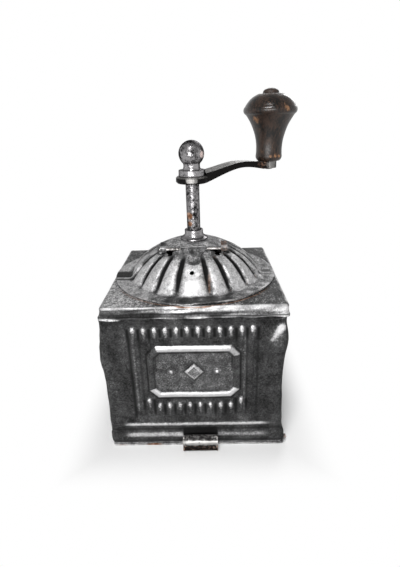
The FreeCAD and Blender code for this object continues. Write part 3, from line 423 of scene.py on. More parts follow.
def quad_object(name, points, faces):
    """Object from points in millimetres and quads, wound so that they face outwards."""
    used, faces = np.unique(faces, return_inverse=True)
    faces = faces.reshape(-1, 4)
    points = points[used]
    p = points[faces]
    volume = np.einsum("ij,ij->i", p[:, 0], np.cross(p[:, 1], p[:, 2]) + np.cross(p[:, 2], p[:, 3])).sum()
    if volume < 0:
        faces = faces[:, ::-1]
    mesh = bpy.data.meshes.new(name)
    mesh.vertices.add(len(points))
    mesh.vertices.foreach_set("co", (points * MM).astype(np.float32).ravel())
    mesh.loops.add(faces.size)
    mesh.loops.foreach_set("vertex_index", faces.astype(np.int32).ravel())
    mesh.polygons.add(len(faces))
    mesh.polygons.foreach_set("loop_start", np.arange(0, faces.size, 4, dtype=np.int32))
    mesh.update(calc_edges=True)
    return link_object(name, mesh)


def sheet_shell(name, outer, inner, keep=None, ring=False):
    """Closed sheet between two like grids of points; keep marks the cells that stay."""
    rows, cols = outer.shape[:2]
    index = np.arange(rows * cols).reshape(rows, cols)
    if ring:
        index = np.hstack((index, index[:, :1]))
    a, b = index[:-1, :-1], index[:-1, 1:]
    d, c = index[1:, :-1], index[1:, 1:]
    if keep is None:
        keep = np.ones(a.shape, bool)
    under = rows * cols
    padded = np.pad(keep, 1)
    if ring:
        padded[1:-1, 0], padded[1:-1, -1] = keep[:, -1], keep[:, 0]
    faces = [np.stack((a, b, c, d), -1)[keep], np.stack((d, c, b, a), -1)[keep] + under]
    neighbours = ((padded[:-2, 1:-1], b, a), (padded[2:, 1:-1], d, c),
                  (padded[1:-1, :-2], a, d), (padded[1:-1, 2:], c, b))
    for beside, start, end in neighbours:
        edge = keep & ~beside
        faces.append(np.stack((start, end, end + under, start + under), -1)[edge])
    points = np.concatenate((outer.reshape(-1, 3), inner.reshape(-1, 3)))
    return quad_object(name, points, np.concatenate(faces))


def place(obj, body, slot, *nodes, sharp=38):
    """Smooths a piece up to its sharp edges, dresses it, lets it ride on a body and stand for its
    CAD nodes; gives its points in millimetres."""
    mesh = obj.data
    mesh.polygons.foreach_set("use_smooth", np.ones(len(mesh.polygons), bool))
    mesh.set_sharp_from_angle(angle=math.radians(sharp))
    dress(obj, materials[slot])
    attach(obj, body)
    if nodes:
        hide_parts(*nodes)
    points = np.empty(len(mesh.vertices) * 3)
    mesh.vertices.foreach_get("co", points)
    return points.reshape(-1, 3).T / MM


def paint(obj, **values):
    """Stores a number for each vertex, which the materials read by name."""
    for name, value in values.items():
        attribute = obj.data.attributes.new(name, "FLOAT", "POINT")
        attribute.data.foreach_set("value", np.full(len(obj.data.vertices), value, np.float32))


def bmesh_object(name, bm):
    """Object of a finished bmesh, which is freed."""
    mesh = bpy.data.meshes.new(name)
    bm.to_mesh(mesh)
    bm.free()
    return link_object(name, mesh)


def prism(outline, low, high):
    """Upright cutter over a plan outline."""
    bm = bmesh.new()
    face = bm.faces.new([bm.verts.new((x * MM, y * MM, low * MM)) for x, y in outline])
    for v in bmesh.ops.extrude_face_region(bm, geom=[face])["geom"]:
        if isinstance(v, bmesh.types.BMVert):
            v.co.z = high * MM
    bmesh.ops.recalc_face_normals(bm, faces=bm.faces)
    return bmesh_object("cutter", bm)


def round_cutter(r, low, high, at, lean=None):
    """Round cutter, its axis turned towards a direction and then moved to a place."""
    turns = [2 * math.pi * i / 32 for i in range(32)]
    obj = prism([(r * math.cos(a), r * math.sin(a)) for a in turns], low, high)
    if lean is not None:
        obj.data.transform(Vector(lean).to_track_quat("Z", "Y").to_matrix().to_4x4())
    obj.data.transform(Matrix.Translation([a * MM for a in at]))
    return obj


def cut(obj, *cutters):
    """Takes the cutters away from a shell."""
    for cutter in cutters:
        step = obj.modifiers.new("cut", "BOOLEAN")
        step.operation, step.solver, step.object = "DIFFERENCE", "MANIFOLD", cutter
    bpy.context.view_layer.update()
    graph = bpy.context.evaluated_depsgraph_get()
    result = bpy.data.meshes.new_from_object(obj.evaluated_get(graph))
    obj.modifiers.clear()
    obj.data = result
    for cutter in cutters:
        bpy.data.objects.remove(cutter)


# The front panel's pressing, in millimetres from the panel's middle

FLUTES, FLUTE_PITCH, FLUTE_HALF, FLUTE_RISE = 12, 7.1, 1.8, 1.0
FLUTES_LOW, FLUTES_HIGH = 25.7, 98.0
FLUTE_CLEAR, FLUTE_FOLLOW = 4.6, 0.6
EMBOSS_X = -1.25
CARTOUCHE_Z, CARTOUCHE_W, CARTOUCHE_H, CARTOUCHE_CUT = 63.5, 31.75, 21.0, 6.5
CARTOUCHE_BAND, CARTOUCHE_RISE = 5.4, 1.5
LOZENGE, LOZENGE_RISE = 6.5, 1.1
BOSS_X, BOSS_R = 15.5, 2.6
PLINTH_Z, PLINTH_HALF, PLINTH_RISE, PLINTH_SHOULDER = 7.6, 5.9, 1.0, 9.9
RIDGE_Z, RIDGE_HALF, RIDGE_RISE = 18.8, 2.1, 0.9
BEAD_Z, BEAD_HALF, BEAD_RISE = 103.2, 1.5, 0.9
PANEL_CORNER, WALL_CORNER, COVER_CORNER = 3.0, 3.0, 2.5
SLOT_TOP, SLOT_ROOM = 3.5, 0.3


def bar(off, half_width):
    """Round section of a raised bar across its width."""
    share = np.abs(off) / half_width
    return np.sqrt(np.clip(1 - share ** 2, 0, 1)) * ramp(share, 1, -1 / 3)


def mouldings(along, z, reach):
    """Plinth, ridge and top bead, the last two fading out at their ends."""
    plinth = PLINTH_RISE * bar(z - PLINTH_Z, PLINTH_HALF)
    ridge = RIDGE_RISE * bar(z - RIDGE_Z, RIDGE_HALF)
    bead = BEAD_RISE * bar(z - BEAD_Z, BEAD_HALF)
    return plinth + ramp(np.abs(along), reach, -4) * (ridge + bead)


def octagon_depth(x, z):
    """How far a point lies inside the cartouche's outline."""
    x, z = np.abs(x), np.abs(z - CARTOUCHE_Z)
    corner = (x + z - (CARTOUCHE_W + CARTOUCHE_H - CARTOUCHE_CUT)) / math.sqrt(2)
    return -most(x - CARTOUCHE_W, z - CARTOUCHE_H, corner)


def flutes():
    """Each flute's place across, its lowest and its highest point."""
    for i in range(FLUTES):
        off = (i - (FLUTES - 1) / 2) * FLUTE_PITCH
        if abs(off) > CARTOUCHE_W + FLUTE_HALF:
            yield off, FLUTES_LOW, FLUTES_HIGH
            continue
        past_cut = max(0, abs(off) - (CARTOUCHE_W - CARTOUCHE_CUT))
        room = CARTOUCHE_H + FLUTE_CLEAR - FLUTE_FOLLOW * past_cut
        yield off, FLUTES_LOW, CARTOUCHE_Z - room
        yield off, CARTOUCHE_Z + room, FLUTES_HIGH


def pressing(x, z):
    """Raised pattern of the front: flutes, cartouche, lozenge and two bosses."""
    rise = np.zeros_like(x)
    for off, low, high in flutes():
        over = z - np.clip(z, low + FLUTE_HALF, high - FLUTE_HALF)
        rise = most(rise, FLUTE_RISE * hill(np.hypot(x - off, over), 0, FLUTE_HALF * 1.15))
    band = CARTOUCHE_BAND / 2
    lozenge = (np.abs(x) + np.abs(z - CARTOUCHE_Z)) / LOZENGE
    rise = most(rise, CARTOUCHE_RISE * bar(octagon_depth(x, z) - band, band),
                LOZENGE_RISE * ramp(lozenge, 1, -1 / 3.5))
    for side in (-1, 1):
        boss = np.hypot(x - side * BOSS_X, z - CARTOUCHE_Z) / BOSS_R
        rise = most(rise, LOZENGE_RISE * hill(boss * 0.9))
    return rise


def box_outline(side, front, back, corner, step):
    """Plan points and normals of half a box wall, from the back left round the front to the back right."""
    points, normals = [], []

    def run(start, end, normal):
        count = max(2, round(math.dist(start, end) / step))
        for i in range(count):
            points.append([a + (b - a) * i / count for a, b in zip(start, end)])
            normals.append(normal)

    def bend(cx, cy, start):
        for i in range(6):
            a = math.radians(start + 90 * i / 6)
            points.append((cx + corner * math.cos(a), cy + corner * math.sin(a)))
            normals.append((math.cos(a), math.sin(a)))

    run((-side, back), (-side, front + corner), (-1, 0))
    bend(corner - side, front + corner, 180)
    run((corner - side, front), (side - corner, front), (0, -1))
    bend(side - corner, front + corner, 270)
    run((side, front + corner), (side, back), (1, 0))
    points.append((side, back))
    normals.append((1, 0))
    return np.array(points), np.array(normals)


def closed_outline(side, front, back, corner, step):
    """The same all round the box, the rear being a front turned about."""
    plan, normal = box_outline(side, front, back - corner, corner, step)
    rear, rear_normal = box_outline(side, -back, corner - back + 0.01, corner, step)
    keep = rear[:, 1] < corner - back - 0.02
    return np.vstack((plan, -rear[keep])), np.vstack((normal, -rear_normal[keep]))


def upright_sheet(plan, normal, rise, level, shift):
    """Outside and inside of an upright sheet that rises off its plan and is shifted in x."""
    outer = np.empty(level.shape + (3,))
    outer[..., :2] = plan + normal * rise[..., None]
    outer[..., 0] += shift
    outer[..., 2] = level
    inner = outer.copy()
    inner[..., :2] -= normal * SHEET
    return outer, inner


# Height and how far the box's left and right side stand outside their plain place
LEFT_DENTS = ((7, 2.0), (22, 2.1), (33, 1.7), (54, 1.7), (59, 2.0), (64, 2.2), (68, 3.0), (73, 3.5),
              (78, 3.2), (83, 2.8), (87, 1.9), (92, 1.4), (96, 0.8), (101, 0.6), (104, 0.9))
RIGHT_DENTS = ((7, 0.6), (11, 0.8), (16, -0.4), (22, -0.7), (27, -1.0), (40, -1.2), (48, -1.8), (68, -1.8),
               (77, -1.6), (82, -1.3), (87, -1.0), (91, -0.8), (96, -0.6), (101, -0.3), (105, 0))


def box_dents(x, y, z):
    """How the box's left and right sides have bulged and been knocked, outwards in x."""
    left, right = (np.interp(z, *zip(*dents)) for dents in (LEFT_DENTS, RIGHT_DENTS))
    return ramp(np.abs(x), 30, 28) * ramp(y, 40, -80) * np.where(x < 0, -left, right)


# Wear and painted light of the box: bright is rubbed metal and painted highlight, black is grime and
# painted shade, even has fewer specks

STREAK_FROM, STREAK_RUN = (50.1, 87.7), (9.5, 13.0)


def cartouche_face(x, z):
    """Depth inside the cartouche, its band, and how bright its bars and corners are painted: rubbed metal
    and painted highlight, brightest on the level bars.
    """
    depth = octagon_depth(x, z)
    band = ramp(depth, 0, 0.9) * ramp(depth, CARTOUCHE_BAND, -1.3)
    level = np.abs(z - CARTOUCHE_Z) - CARTOUCHE_H >= -depth - 0.01
    upright = np.abs(x) - CARTOUCHE_W >= -depth - 0.01
    # Painted highlight: the corners are lit unevenly, the upper left least.
    corner = np.where(z > CARTOUCHE_Z, np.where(x > 0, 0.65, 0.2), np.where(x > 0, 0.95, 1.0))
    return depth, band, band * np.where(level, 1.25, np.where(upright, 0.14, corner))


def wall_wear_and_light(along, z):
    """Brightness and darkness of the plain sides, the same on the walls and where the front wraps round:
    rubbed metal with painted highlight on the ridge, plinth and bead, painted shade in the grooves under
    the ridge and along the plinth's foot.
    """
    worn = most(0.07 + 0.08 * waves(along, z * 0.4, 18, 33), 0.5 * hill(z, RIDGE_Z + 0.5, 2.2),
                0.5 * hill(z, PLINTH_SHOULDER, 3.0), 0.35 * hill(z, BEAD_Z + 0.5, 1.3))
    return worn, 0.4 * hill(z, 14.6, 2.2) + 0.4 * hill(z, 4.6, 2.4)


def flute_wear_and_light(off, z, depth):
    """Bright tips and tails of the flutes, worn metal with painted highlight, and painted shade in the gaps
    between them outside the cartouche.
    """
    worn = grime = 0
    for axis, low, high in flutes():
        force = 1.0 if high == FLUTES_HIGH else 0.8
        within = ramp(z, low, 2) * ramp(z, high, -1)
        across = off - axis
        tip = 1.1 * force * (1 + 0.005 * (axis + 38)) * bell(across, 1.3) * bell(z - high + 2.0, 2.2)
        tail = 0.64 * force * bell(across - 0.2, 1.0) * ramp(z, high - 13, 12) * within
        gap = bell(np.abs(across) - FLUTE_PITCH / 2, 1.25) * within * (depth < -0.8)
        worn = most(worn, tip, tail)
        grime = most(grime, gap * (0.60 + 0.36 * ramp(z, high - 12, 6) * (high - z > 1.5)))
    return worn, grime


def corner_fold_highlight(x, z):
    """Painted highlight along the fold that runs up to the upper right corner, wider and brighter upwards.
    """
    x, z = x - STREAK_FROM[0], z - STREAK_FROM[1]
    run_x, run_z = STREAK_RUN
    t = np.clip((x * run_x + z * run_z) / (run_x ** 2 + run_z ** 2), 0, 1)
    return bell(np.hypot(x - run_x * t, z - run_z * t), 1.5 + 1.9 * t) * (0.65 + 0.8 * t)


def panel_wear_and_light(x, z):
    """Wear with painted highlight, grime with painted shade, and evenness of the front, x from the panel's
    middle.
    """
    off = x - EMBOSS_X
    depth, band, rubbed_and_lit = cartouche_face(off, z)
    field = depth > CARTOUCHE_BAND
    # Painted shade: the right part of the front is darker.
    right = ramp(x, 38, 8)
    worn = most(0.06 + 0.10 * waves(x, z * 0.4, 16, 31) - 0.08 * right, rubbed_and_lit)
    worn = np.where(field, 0.27 + 0.06 * waves(x, z, 9, 36), worn)
    shadow = np.where(z > CARTOUCHE_Z, hill(depth, CARTOUCHE_BAND + 0.7, 1.1), hill(depth, -0.6, 1.3))
    # Painted shade under the rim, beside the cartouche's upright bars and in the shadow lines of its level
    # bars.
    by_side = np.abs(off) > CARTOUCHE_W - 4
    grime = most(0.15 * right + 0.30 * hill(z, 101.5, 4) * (x < 48),
                 np.where(by_side, 0.75 * hill(depth, 0.2, 1.5), 0.8 * shadow))
    # Painted highlight on the lozenge's rim and face and on the bosses' tops.
    lozenge = (np.abs(off) + np.abs(z - CARTOUCHE_Z)) / LOZENGE
    rim = hill(lozenge, 0.86, 0.22) * (0.62 + 0.33 * ramp(z, CARTOUCHE_Z - 1, 2))
    boss = np.hypot(np.abs(off) - BOSS_X, z - CARTOUCHE_Z - 0.3) / BOSS_R
    flute_worn, flute_grime = flute_wear_and_light(off, z, depth)
    # Painted highlight in thin upright lines by the outer flutes, painted shade just outside the left one;
    # the plinth's shoulder is painted brighter towards the left.
    side_line = (bell(off + 39.4, 1.0) + 0.8 * bell(off - 34.2, 1.2)) * ramp(z, 28, 4) * ramp(z, 92, -4)
    outside = bell(off + 42.2, 1.5) * ramp(z, 24, 3) * ramp(z, 97, -4)
    taper = ramp(np.abs(x + 1), 57, -12)
    plinth = (0.85 - 0.30 * ramp(x, -5, 25)) * hill(z, PLINTH_SHOULDER, 3.2)
    # Painted shadow of the pull tab on the panel above it, where the wear is also taken away.
    tab = ramp(x, -11.5, 1.5) * ramp(x, 15.0, -1.5) * ramp(z, 16.5, -2) * ramp(z, 8, 2)
    # Painted highlight with wear on the raised parts, the ridge, the plinth and the foot; painted shade
    # round the lozenge and bosses, between the flutes and in the grooves under the ridge and plinth.
    worn = most(worn, rim + 0.40 * (lozenge < 0.8), 0.85 * hill(boss, 0, 0.9), flute_worn, 0.30 * side_line,
                0.82 * hill(z, RIDGE_Z + 0.4, 2.0) * taper, plinth * taper, 0.6 * hill(z, 1.6, 1.0))
    grime = most(grime, 0.7 * hill(lozenge, 1.16, 0.18), 0.6 * hill(boss, 1.25, 0.3), flute_grime,
                 0.8 * outside, 0.65 * hill(z, 14.4, 2.0), 0.6 * hill(z, 4.4, 2.2), tab)
    # Painted highlight on the fold and dent at the upper right and on the top bead at the left.
    fold_highlight = corner_fold_highlight(x, z)
    dent_highlight = 0.45 * bell(x - 53, 5) * bell(z - 90, 6)
    worn = most(worn * (1 - tab), 0.95 * hill(z, 104.3, 1.3) * ramp(x, -46, -3), fold_highlight, dent_highlight)
    even = 0.35 * field + band + 0.8 * hill(z, RIDGE_Z, 2.4) + 0.6 * hill(z, PLINTH_SHOULDER, 3.2) + fold_highlight
    return worn, grime, np.clip(even, 0, 1)


def front_panel():
    """Embossed front of the drawer with its wrapped sides, knocked at the upper right."""
    lo, hi = span("drawer_front")
    mid, side = (lo[0] + hi[0]) / 2, (hi[0] - lo[0]) / 2
    plan, normal = box_outline(side, face_y, face_y + PANEL_WRAP, PANEL_CORNER, 0.62)
    z = np.linspace(lo[2], hi[2], 168)
    along = np.broadcast_to(plan[:, 0], (len(z), len(plan)))
    level = np.broadcast_to(z[:, None], along.shape)
    rise = pressing(along - (EMBOSS_X - mid), level) + mouldings(along, level, side - 2)
    rise = rise * (normal[:, 1] < -0.5) + 0.22 * waves(along, level, 30, 3)
    rise += ramp(along, 30, 26) * (1.3 * bell(level - 84, 9) - 1.2 * bell(level - 101, 6))
    outer, inner = upright_sheet(plan, normal, rise, level, mid + box_dents(along, plan[:, 1], level))
    tab_lo, tab_hi = span("pull_tab")
    cell_x = (plan[1:, 0] + plan[:-1, 0]) / 2 + mid
    cell_z = (z[1:] + z[:-1]) / 2
    slot = (cell_x > tab_lo[0] - SLOT_ROOM) & (cell_x < tab_hi[0] + SLOT_ROOM) & (plan[1:, 1] < face_y + 1)
    panel = sheet_shell("embossed_panel", outer, inner, ~(slot & (cell_z[:, None] < SLOT_TOP)))
    x, y, z = place(panel, "drawer", "black_sheet", "drawer_front")
    facing = ramp(y, face_y + 1.2, -0.8)
    # Painted highlight and painted shade of the front, and of the plain sides where it wraps round.
    worn, grime, even = panel_wear_and_light(x, z)
    side_worn, side_grime = wall_wear_and_light(y + 200, z)
    paint(panel, worn=worn * facing + side_worn * (1 - facing), even=even * facing,
          grime=grime * facing + side_grime * (1 - facing),
          rust=0.35 * hill(z, 1.2, 1.2) * (0.6 + 0.6 * waves(x, z, 20, 35)))


def box_walls():
    """Wrapped sheet box, its drawer mouth in front and its lap seam behind."""
    lo, hi = span("body_shell")
    mid, side = (lo[0] + hi[0]) / 2, (hi[0] - lo[0]) / 2 - 1.0
    front, back = face_y + 1.15, -face_y
    neck_z, neck_half, mouth_z = 106.5, 57.95, 39.5
    plan, normal = closed_outline(side, front, back, WALL_CORNER, 1.2)
    z = np.unique(np.concatenate((np.linspace(lo[2], mouth_z, 34), np.linspace(mouth_z, neck_z, 56),
                                  np.linspace(neck_z, hi[2], 8))))
    crosswise = np.abs(normal[:, 1]) > 0.7
    reach = np.where(crosswise, side - 3, back - 4)
    along = np.broadcast_to(np.where(crosswise, plan[:, 0], plan[:, 1]), (len(z), len(plan)))
    level = np.broadcast_to(z[:, None], along.shape)
    behind = plan[:, 1] >= front + 14
    seam = (normal[:, 1] > 0.9) & (np.abs(plan[:, 0]) < 3.5)
    rise = mouldings(along, level, reach) * behind
    rise += 0.8 * seam * ramp(level, 23, 1.5) * ramp(level, 99, -1.5)
    rise += 0.35 * waves(along, level, 42, 8) * behind * ramp(level, 100, -12)
    drawn_in = (side - neck_half) * ramp(level, neck_z, 2) * (np.abs(normal[:, 0]) > 0.5)
    dents = box_dents(plan[:, 0], plan[:, 1], level) * ramp(level, neck_z, -8)
    outer, inner = upright_sheet(plan, normal, rise, level, mid + dents - normal[:, 0] * drawn_in)
    beside = np.roll(plan, -1, 0)
    mouth = np.abs(plan[:, 0] + beside[:, 0]) / 2 + abs(mid) < span("drawer_tray")[1][0] + 0.9
    mouth &= (plan[:, 1] < front + 0.1) & (beside[:, 1] < front + 0.1)
    keep = ~(mouth & ((z[1:] + z[:-1])[:, None] / 2 < mouth_z))
    walls = sheet_shell("box_walls", outer, inner, keep, ring=True)
    x, y, z = place(walls, "housing", "black_sheet", "body_shell")
    corner = np.hypot(most(np.abs(x) - 58.5, 0), most(np.abs(y) - 56.5, 0))
    along = np.where(np.abs(y) > 56.5, x, y + 200)
    worn, grime = wall_wear_and_light(along, z)
    # Painted shade at the top of the walls under the cover's rim; the rounded corners are rubbed brighter.
    paint(walls, worn=worn + 0.25 * ramp(corner, 0, 2.5), grime=grime + 0.5 * hill(z, 106, 4),
          rust=0.3 * ramp(z, 5, -5) + 0.2 * waves(along, z, 20, 34), even=0)


def base():
    """Bottom sheet with round corners and a slightly wavy edge, its front right corner bent up."""
    lo, hi = span("base_plate")
    thick, corner = 1.0, 3.0
    x = np.concatenate(([lo[0], lo[0] + 0.5], np.linspace(lo[0] + 2, hi[0] - 2.2, 60),
                        np.linspace(hi[0] - 1.4, hi[0], 5)))
    gx, gy = np.meshgrid(x, np.linspace(lo[1], hi[1], 61))
    out_x, out_y = np.abs(gx) - hi[0] + corner, np.abs(gy) - hi[1] + corner
    at_corner = (out_x > 0) & (out_y > 0)
    scale = most(out_x, out_y) / most(np.hypot(out_x, out_y), 1e-6)
    gx = np.where(at_corner, np.sign(gx) * (hi[0] - corner + out_x * scale), gx)
    gy = np.where(at_corner, np.sign(gy) * (hi[1] - corner + out_y * scale), gy)
    wavy = ramp(most(np.abs(gx) / hi[0], np.abs(gy) / hi[1]), 0.96, 0.04)
    lift = 0.25 * wavy * (1 + waves(gx, gy, 24, 41))
    bent = ramp(gx, 61.6, 1.2) * ramp(gy, -51, -6)
    top = np.stack((gx + 0.9 * bent, gy - 0.4 * bent, thick + lift + 5.2 * bent), -1)
    under = np.stack((gx + 1.5 * bent, gy - 0.4 * bent, lift * 0.6 + 4.6 * bent), -1)
    sheet = sheet_shell("base_sheet", top, under)
    x, y, z = place(sheet, "housing", "black_sheet", "base_plate")
    edge = ramp(most(np.abs(x) - hi[0], np.abs(y) - hi[1]), -1.6, 1.2)
    raised = ramp(z, 1.5, 1.5)
    paint(sheet, worn=0.15 + edge * (0.75 + 0.35 * waves(x, y, 14, 42)) + 0.6 * raised,
          rust=edge * (0.25 + 0.5 * waves(x + 7, y, 17, 43)) + 0.42 * raised, grime=0, even=0)


def cover():
    """Square cover with a rolled edge, a flared rim and the round feed opening."""
    lo, hi = span("top_cover")
    top, foot = hi[2], lo[2]
    flare, hole_r, roll = 1.5, 37.4, 1.1
    half_top = hi[0] - flare
    plan, normal = closed_outline(half_top, -half_top, half_top, COVER_CORNER, 1.1)
    angle = np.arctan2(plan[:, 1], plan[:, 0])
    hole = np.stack((hole_r * np.cos(angle), hole_r * np.sin(angle)), -1)
    rows = []

    def row(flat, z, lean_out, lean_up):
        rows.append(np.column_stack((flat, z + 0 * angle, normal * lean_out, lean_up + 0 * angle)))

    for share in np.linspace(0, 1, 26):
        flat = hole * (1 - share) + (plan - normal * roll) * share
        row(flat, top - 0.06 * ramp(np.hypot(*flat.T), 47, -2), 0, 1)
    for turn in np.radians((18, 36, 54, 72)):
        sin, cos = math.sin(turn), math.cos(turn)
        row(plan + normal * roll * (sin - 1), top - roll * (1 - cos), sin, cos)
    for share in np.linspace(0, 1, 11):
        flat = plan + normal * flare * (share + 0.12) / 1.12
        row(flat, top - roll - (top - roll - foot) * share, 0.98, 0.19)
    outer, away = np.split(np.array(rows), 2, -1)
    skirt = ramp(outer[..., 2], top, -4)
    along = np.where(np.abs(normal[:, 1]) > 0.7, plan[:, 0], plan[:, 1] + 200) + 0 * skirt
    outer[..., :2] += normal * (0.45 * skirt * waves(along, outer[..., 2] * 2, 26, 5))[..., None]
    sag = waves(outer[..., 0], outer[..., 1], 45, 6)
    outside = ramp(np.hypot(outer[..., 0], outer[..., 1]), 60, 8)
    outer[..., 2] -= 0.35 * outside * (0.5 + 0.5 * sag)
    at_foot = skirt * np.clip((foot + 2 - outer[..., 2]) / 2, 0, 1)
    outer[..., 2] += 0.4 * at_foot * waves(along, 0 * skirt, 22, 15)
    shell = sheet_shell("cover_sheet", outer, outer - away * SHEET, ring=True)
    x, y, z = place(shell, "housing", "black_sheet", "top_cover")
    out, r = most(np.abs(x), np.abs(y)), np.hypot(x, y)
    on_top = ramp(z, top - 1.6, 0.8)
    edge = ramp(out, half_top - 1.5, 0.7) * ramp(z, top - 1.7, 0.7)
    side = np.where(np.abs(y) > np.abs(x), x, y + 150)
    streaks = waves(side * 0.12, z, 3.2, 9) + 0.5 * waves(side * 0.5, z * 1.5, 7, 10)
    drop = (top - z) / (top - foot)
    # Painted light on the skirt: brighter bands along it and up high, a bright patch at the front right, a
    # darker band lower down, over its streaky wear.
    face = (0.05 + 0.36 * ramp(side, -34, 16) + 0.10 * ramp(side, 30, 20) + 0.20 * streaks
            + 0.25 * hill(drop, 0.35, 0.25) - 0.15 * hill(drop, 0.62, 0.2)
            + 0.45 * hill(x, 57, 7) * (y < -50))
    # Painted light on the top: brighter towards the front left, darker towards the right.
    flat = (0.22 + 0.10 * waves(x, y, 22, 11) + 0.42 * ramp(x, -8, -40) * ramp(y, 20, -60)
            - 0.10 * ramp(x, 15, 30))
    # Painted highlight on the rolled edge and in bright lines at the skirt's foot in front.
    edge_highlight = edge * (0.58 + 0.16 * ramp(side, -30, 30) + 0.25 * waves(side, z * 0.3, 9, 12))
    foot_highlight = np.clip(hill(x, 2, 14) + hill(x, -55, 9), 0, 1)
    worn = most((1 - on_top) * face + on_top * flat, edge_highlight,
                hill(z, foot, 1.3) * foot_highlight * (y < -50))
    # Painted shade at the skirt's foot where no highlight lies and in a band on its lower left part, round
    # the dome's flange behind and towards the right of the top.
    grime = (1 - on_top) * (0.85 * hill(z, foot + 1.1, 1.1) * (foot_highlight < 0.5)
                            + 0.6 * hill(drop, 0.62, 0.16) * ramp(side, 25, -20))
    grime += on_top * (0.35 * hill(r, 61.5, 2.5) * ramp(y, -5, 10) + 0.20 * ramp(x, 12, 40))
    rust = on_top * (0.75 * hill(r, 60.3, 1.1) * ramp(y, -18, -20)
                     + 0.25 * hill(r, 63, 4) * ramp(y, -30, -20) * (out < half_top - 1))
    even = most(0.55 * (1 - on_top), 0.85 * edge) - 1.3 * on_top * (1 - edge)
    paint(shell, worn=worn, rust=rust, grime=grime, even=even)


# Dome, in millimetres and degrees; azimuth 0 is the front

DOME_SEAT, COLLAR_HOLE = 12.1, 6.25
DOME_R, DOME_MID = 57.2, 83.8
FLANGE_R, FLANGE_FILLET = 59.5, 3.0
GROOVES = (-69, -51, -32.5, -14, 12.8, 30.5, 50, 67, 80)
REAR_GROOVES = tuple(range(96, 282, 17))
GROOVE_FROM, GROOVE_TO, GROOVE_DEPTH = 24.0, 48.5, 1.7
BULGE_AZ, BULGE_R = -2.0, 45.0
PIN_Y, PARTING_Y, PARTING_GAP = -17.0, -12.5, 0.15
NOTCH_HALF, EAR_FROM, EAR_W = 25.0, 19.2, 4.4
KNUCKLE_HALF, KNUCKLE_R = 8.5, 1.95
RELIEF_X, RELIEF_R = 16.5, 2.0
LOST_HOLE, LOST_HOLE_R = (-1.0, -38.0), 1.6
BROWN_ACROSS = 12.0
# Cutters of the dome reach this far out and start this low
FAR, LOW = 80, 60


def around(x, y):
    """Azimuth, radius and distance across from the middle lobe."""
    azimuth, r = np.degrees(np.arctan2(x, -y)), np.hypot(x, y)
    return azimuth, r, np.radians(azimuth - BULGE_AZ) * r


def lobes(azimuth, r):
    """Depth of the grooves (negative), swell of the lobes (positive) and place across the lobe."""
    lines = np.array(sorted(GROOVES + REAR_GROOVES), float)
    lines = np.concatenate((lines, [lines[0] + 360]))
    az = (azimuth - lines[0]) % 360 + lines[0]
    spot = np.clip(np.searchsorted(lines, az, side="right") - 1, 0, len(lines) - 2)
    low, high = lines[spot], lines[spot + 1]
    share = (az - low) / (high - low)
    near = np.minimum(az - low, high - az) * np.radians(1) * r
    width = 2.0 + np.clip((r - GROOVE_FROM) / 20, 0, 1)
    groove = -GROOVE_DEPTH * (1 - np.clip(near / width, 0, 1) ** 2) ** 1.5
    groove *= ramp(r, GROOVE_FROM, 7) * ramp(r, GROOVE_TO + 1.5, -5)
    swell = 0.75 * np.sin(np.pi * share) ** 0.8 * ramp(r, 27, 12) * ramp(r, GROOVE_TO + 2, -5)
    return groove, swell, share


def dome_relief(x, y):
    """Grooves, lobes and the finger pad with its dip."""
    azimuth, r, across = around(x, y)
    groove, swell, _ = lobes(azimuth, r)
    pad = bell(across, 8.5, 3.5) * bell(r - BULGE_R, 4.3, 3)
    dip = bell(across, 4) * bell(r - BULGE_R, 2)
    return groove + swell + pad * 0.9 - 0.35 * dip


def dome_profile(flange_foot):
    """Outline of the dome's outside: radius, height and normal."""
    top = flange_foot + SHEET
    seat_z = DOME_MID + math.sqrt(DOME_R ** 2 - DOME_SEAT ** 2)
    fillet_z = top + FLANGE_FILLET
    fillet_x = math.sqrt((DOME_R + FLANGE_FILLET) ** 2 - (fillet_z - DOME_MID) ** 2)
    lean = math.atan2(fillet_z - DOME_MID, fillet_x)
    rows = [(COLLAR_HOLE, seat_z, 0, 1)]
    for a in np.linspace(math.acos(DOME_SEAT / DOME_R), lean, 64):
        rows.append((DOME_R * math.cos(a), DOME_MID + DOME_R * math.sin(a), math.cos(a), math.sin(a)))
    for a in np.linspace(lean, math.pi / 2, 6)[1:]:
        x, z = math.cos(a), math.sin(a)
        rows.append((fillet_x - FLANGE_FILLET * x, fillet_z - FLANGE_FILLET * z, x, z))
    rows += [(r, top, 0, 1) for r in np.linspace(fillet_x, FLANGE_R, 9)[1:]]
    return np.array(rows)


def dome_shell(name, flange_foot):
    """The whole dome before it is cut, its flange wavy."""
    r, z, nr, nz = (column[:, None] for column in dome_profile(flange_foot).T)
    turn = np.radians(np.arange(0, 360, 0.9))[None, :]
    sin, cos = np.sin(turn), -np.cos(turn)
    relief = dome_relief(r * sin, r * cos)
    relief += 0.25 * waves(r * sin, r * cos, 30, 21) * ramp(r, 12, 6)
    relief += 0.25 * ramp(r, 50, 4) * waves(turn * 50 + 0 * r, r * 0.2, 40, 22)
    away = np.stack((nr * sin, nr * cos, nz + 0 * sin), -1)
    outer = np.stack((r * sin, r * cos, z + 0 * sin), -1) + away * relief[..., None]
    return sheet_shell(name, outer, outer - away * SHEET, ring=True)


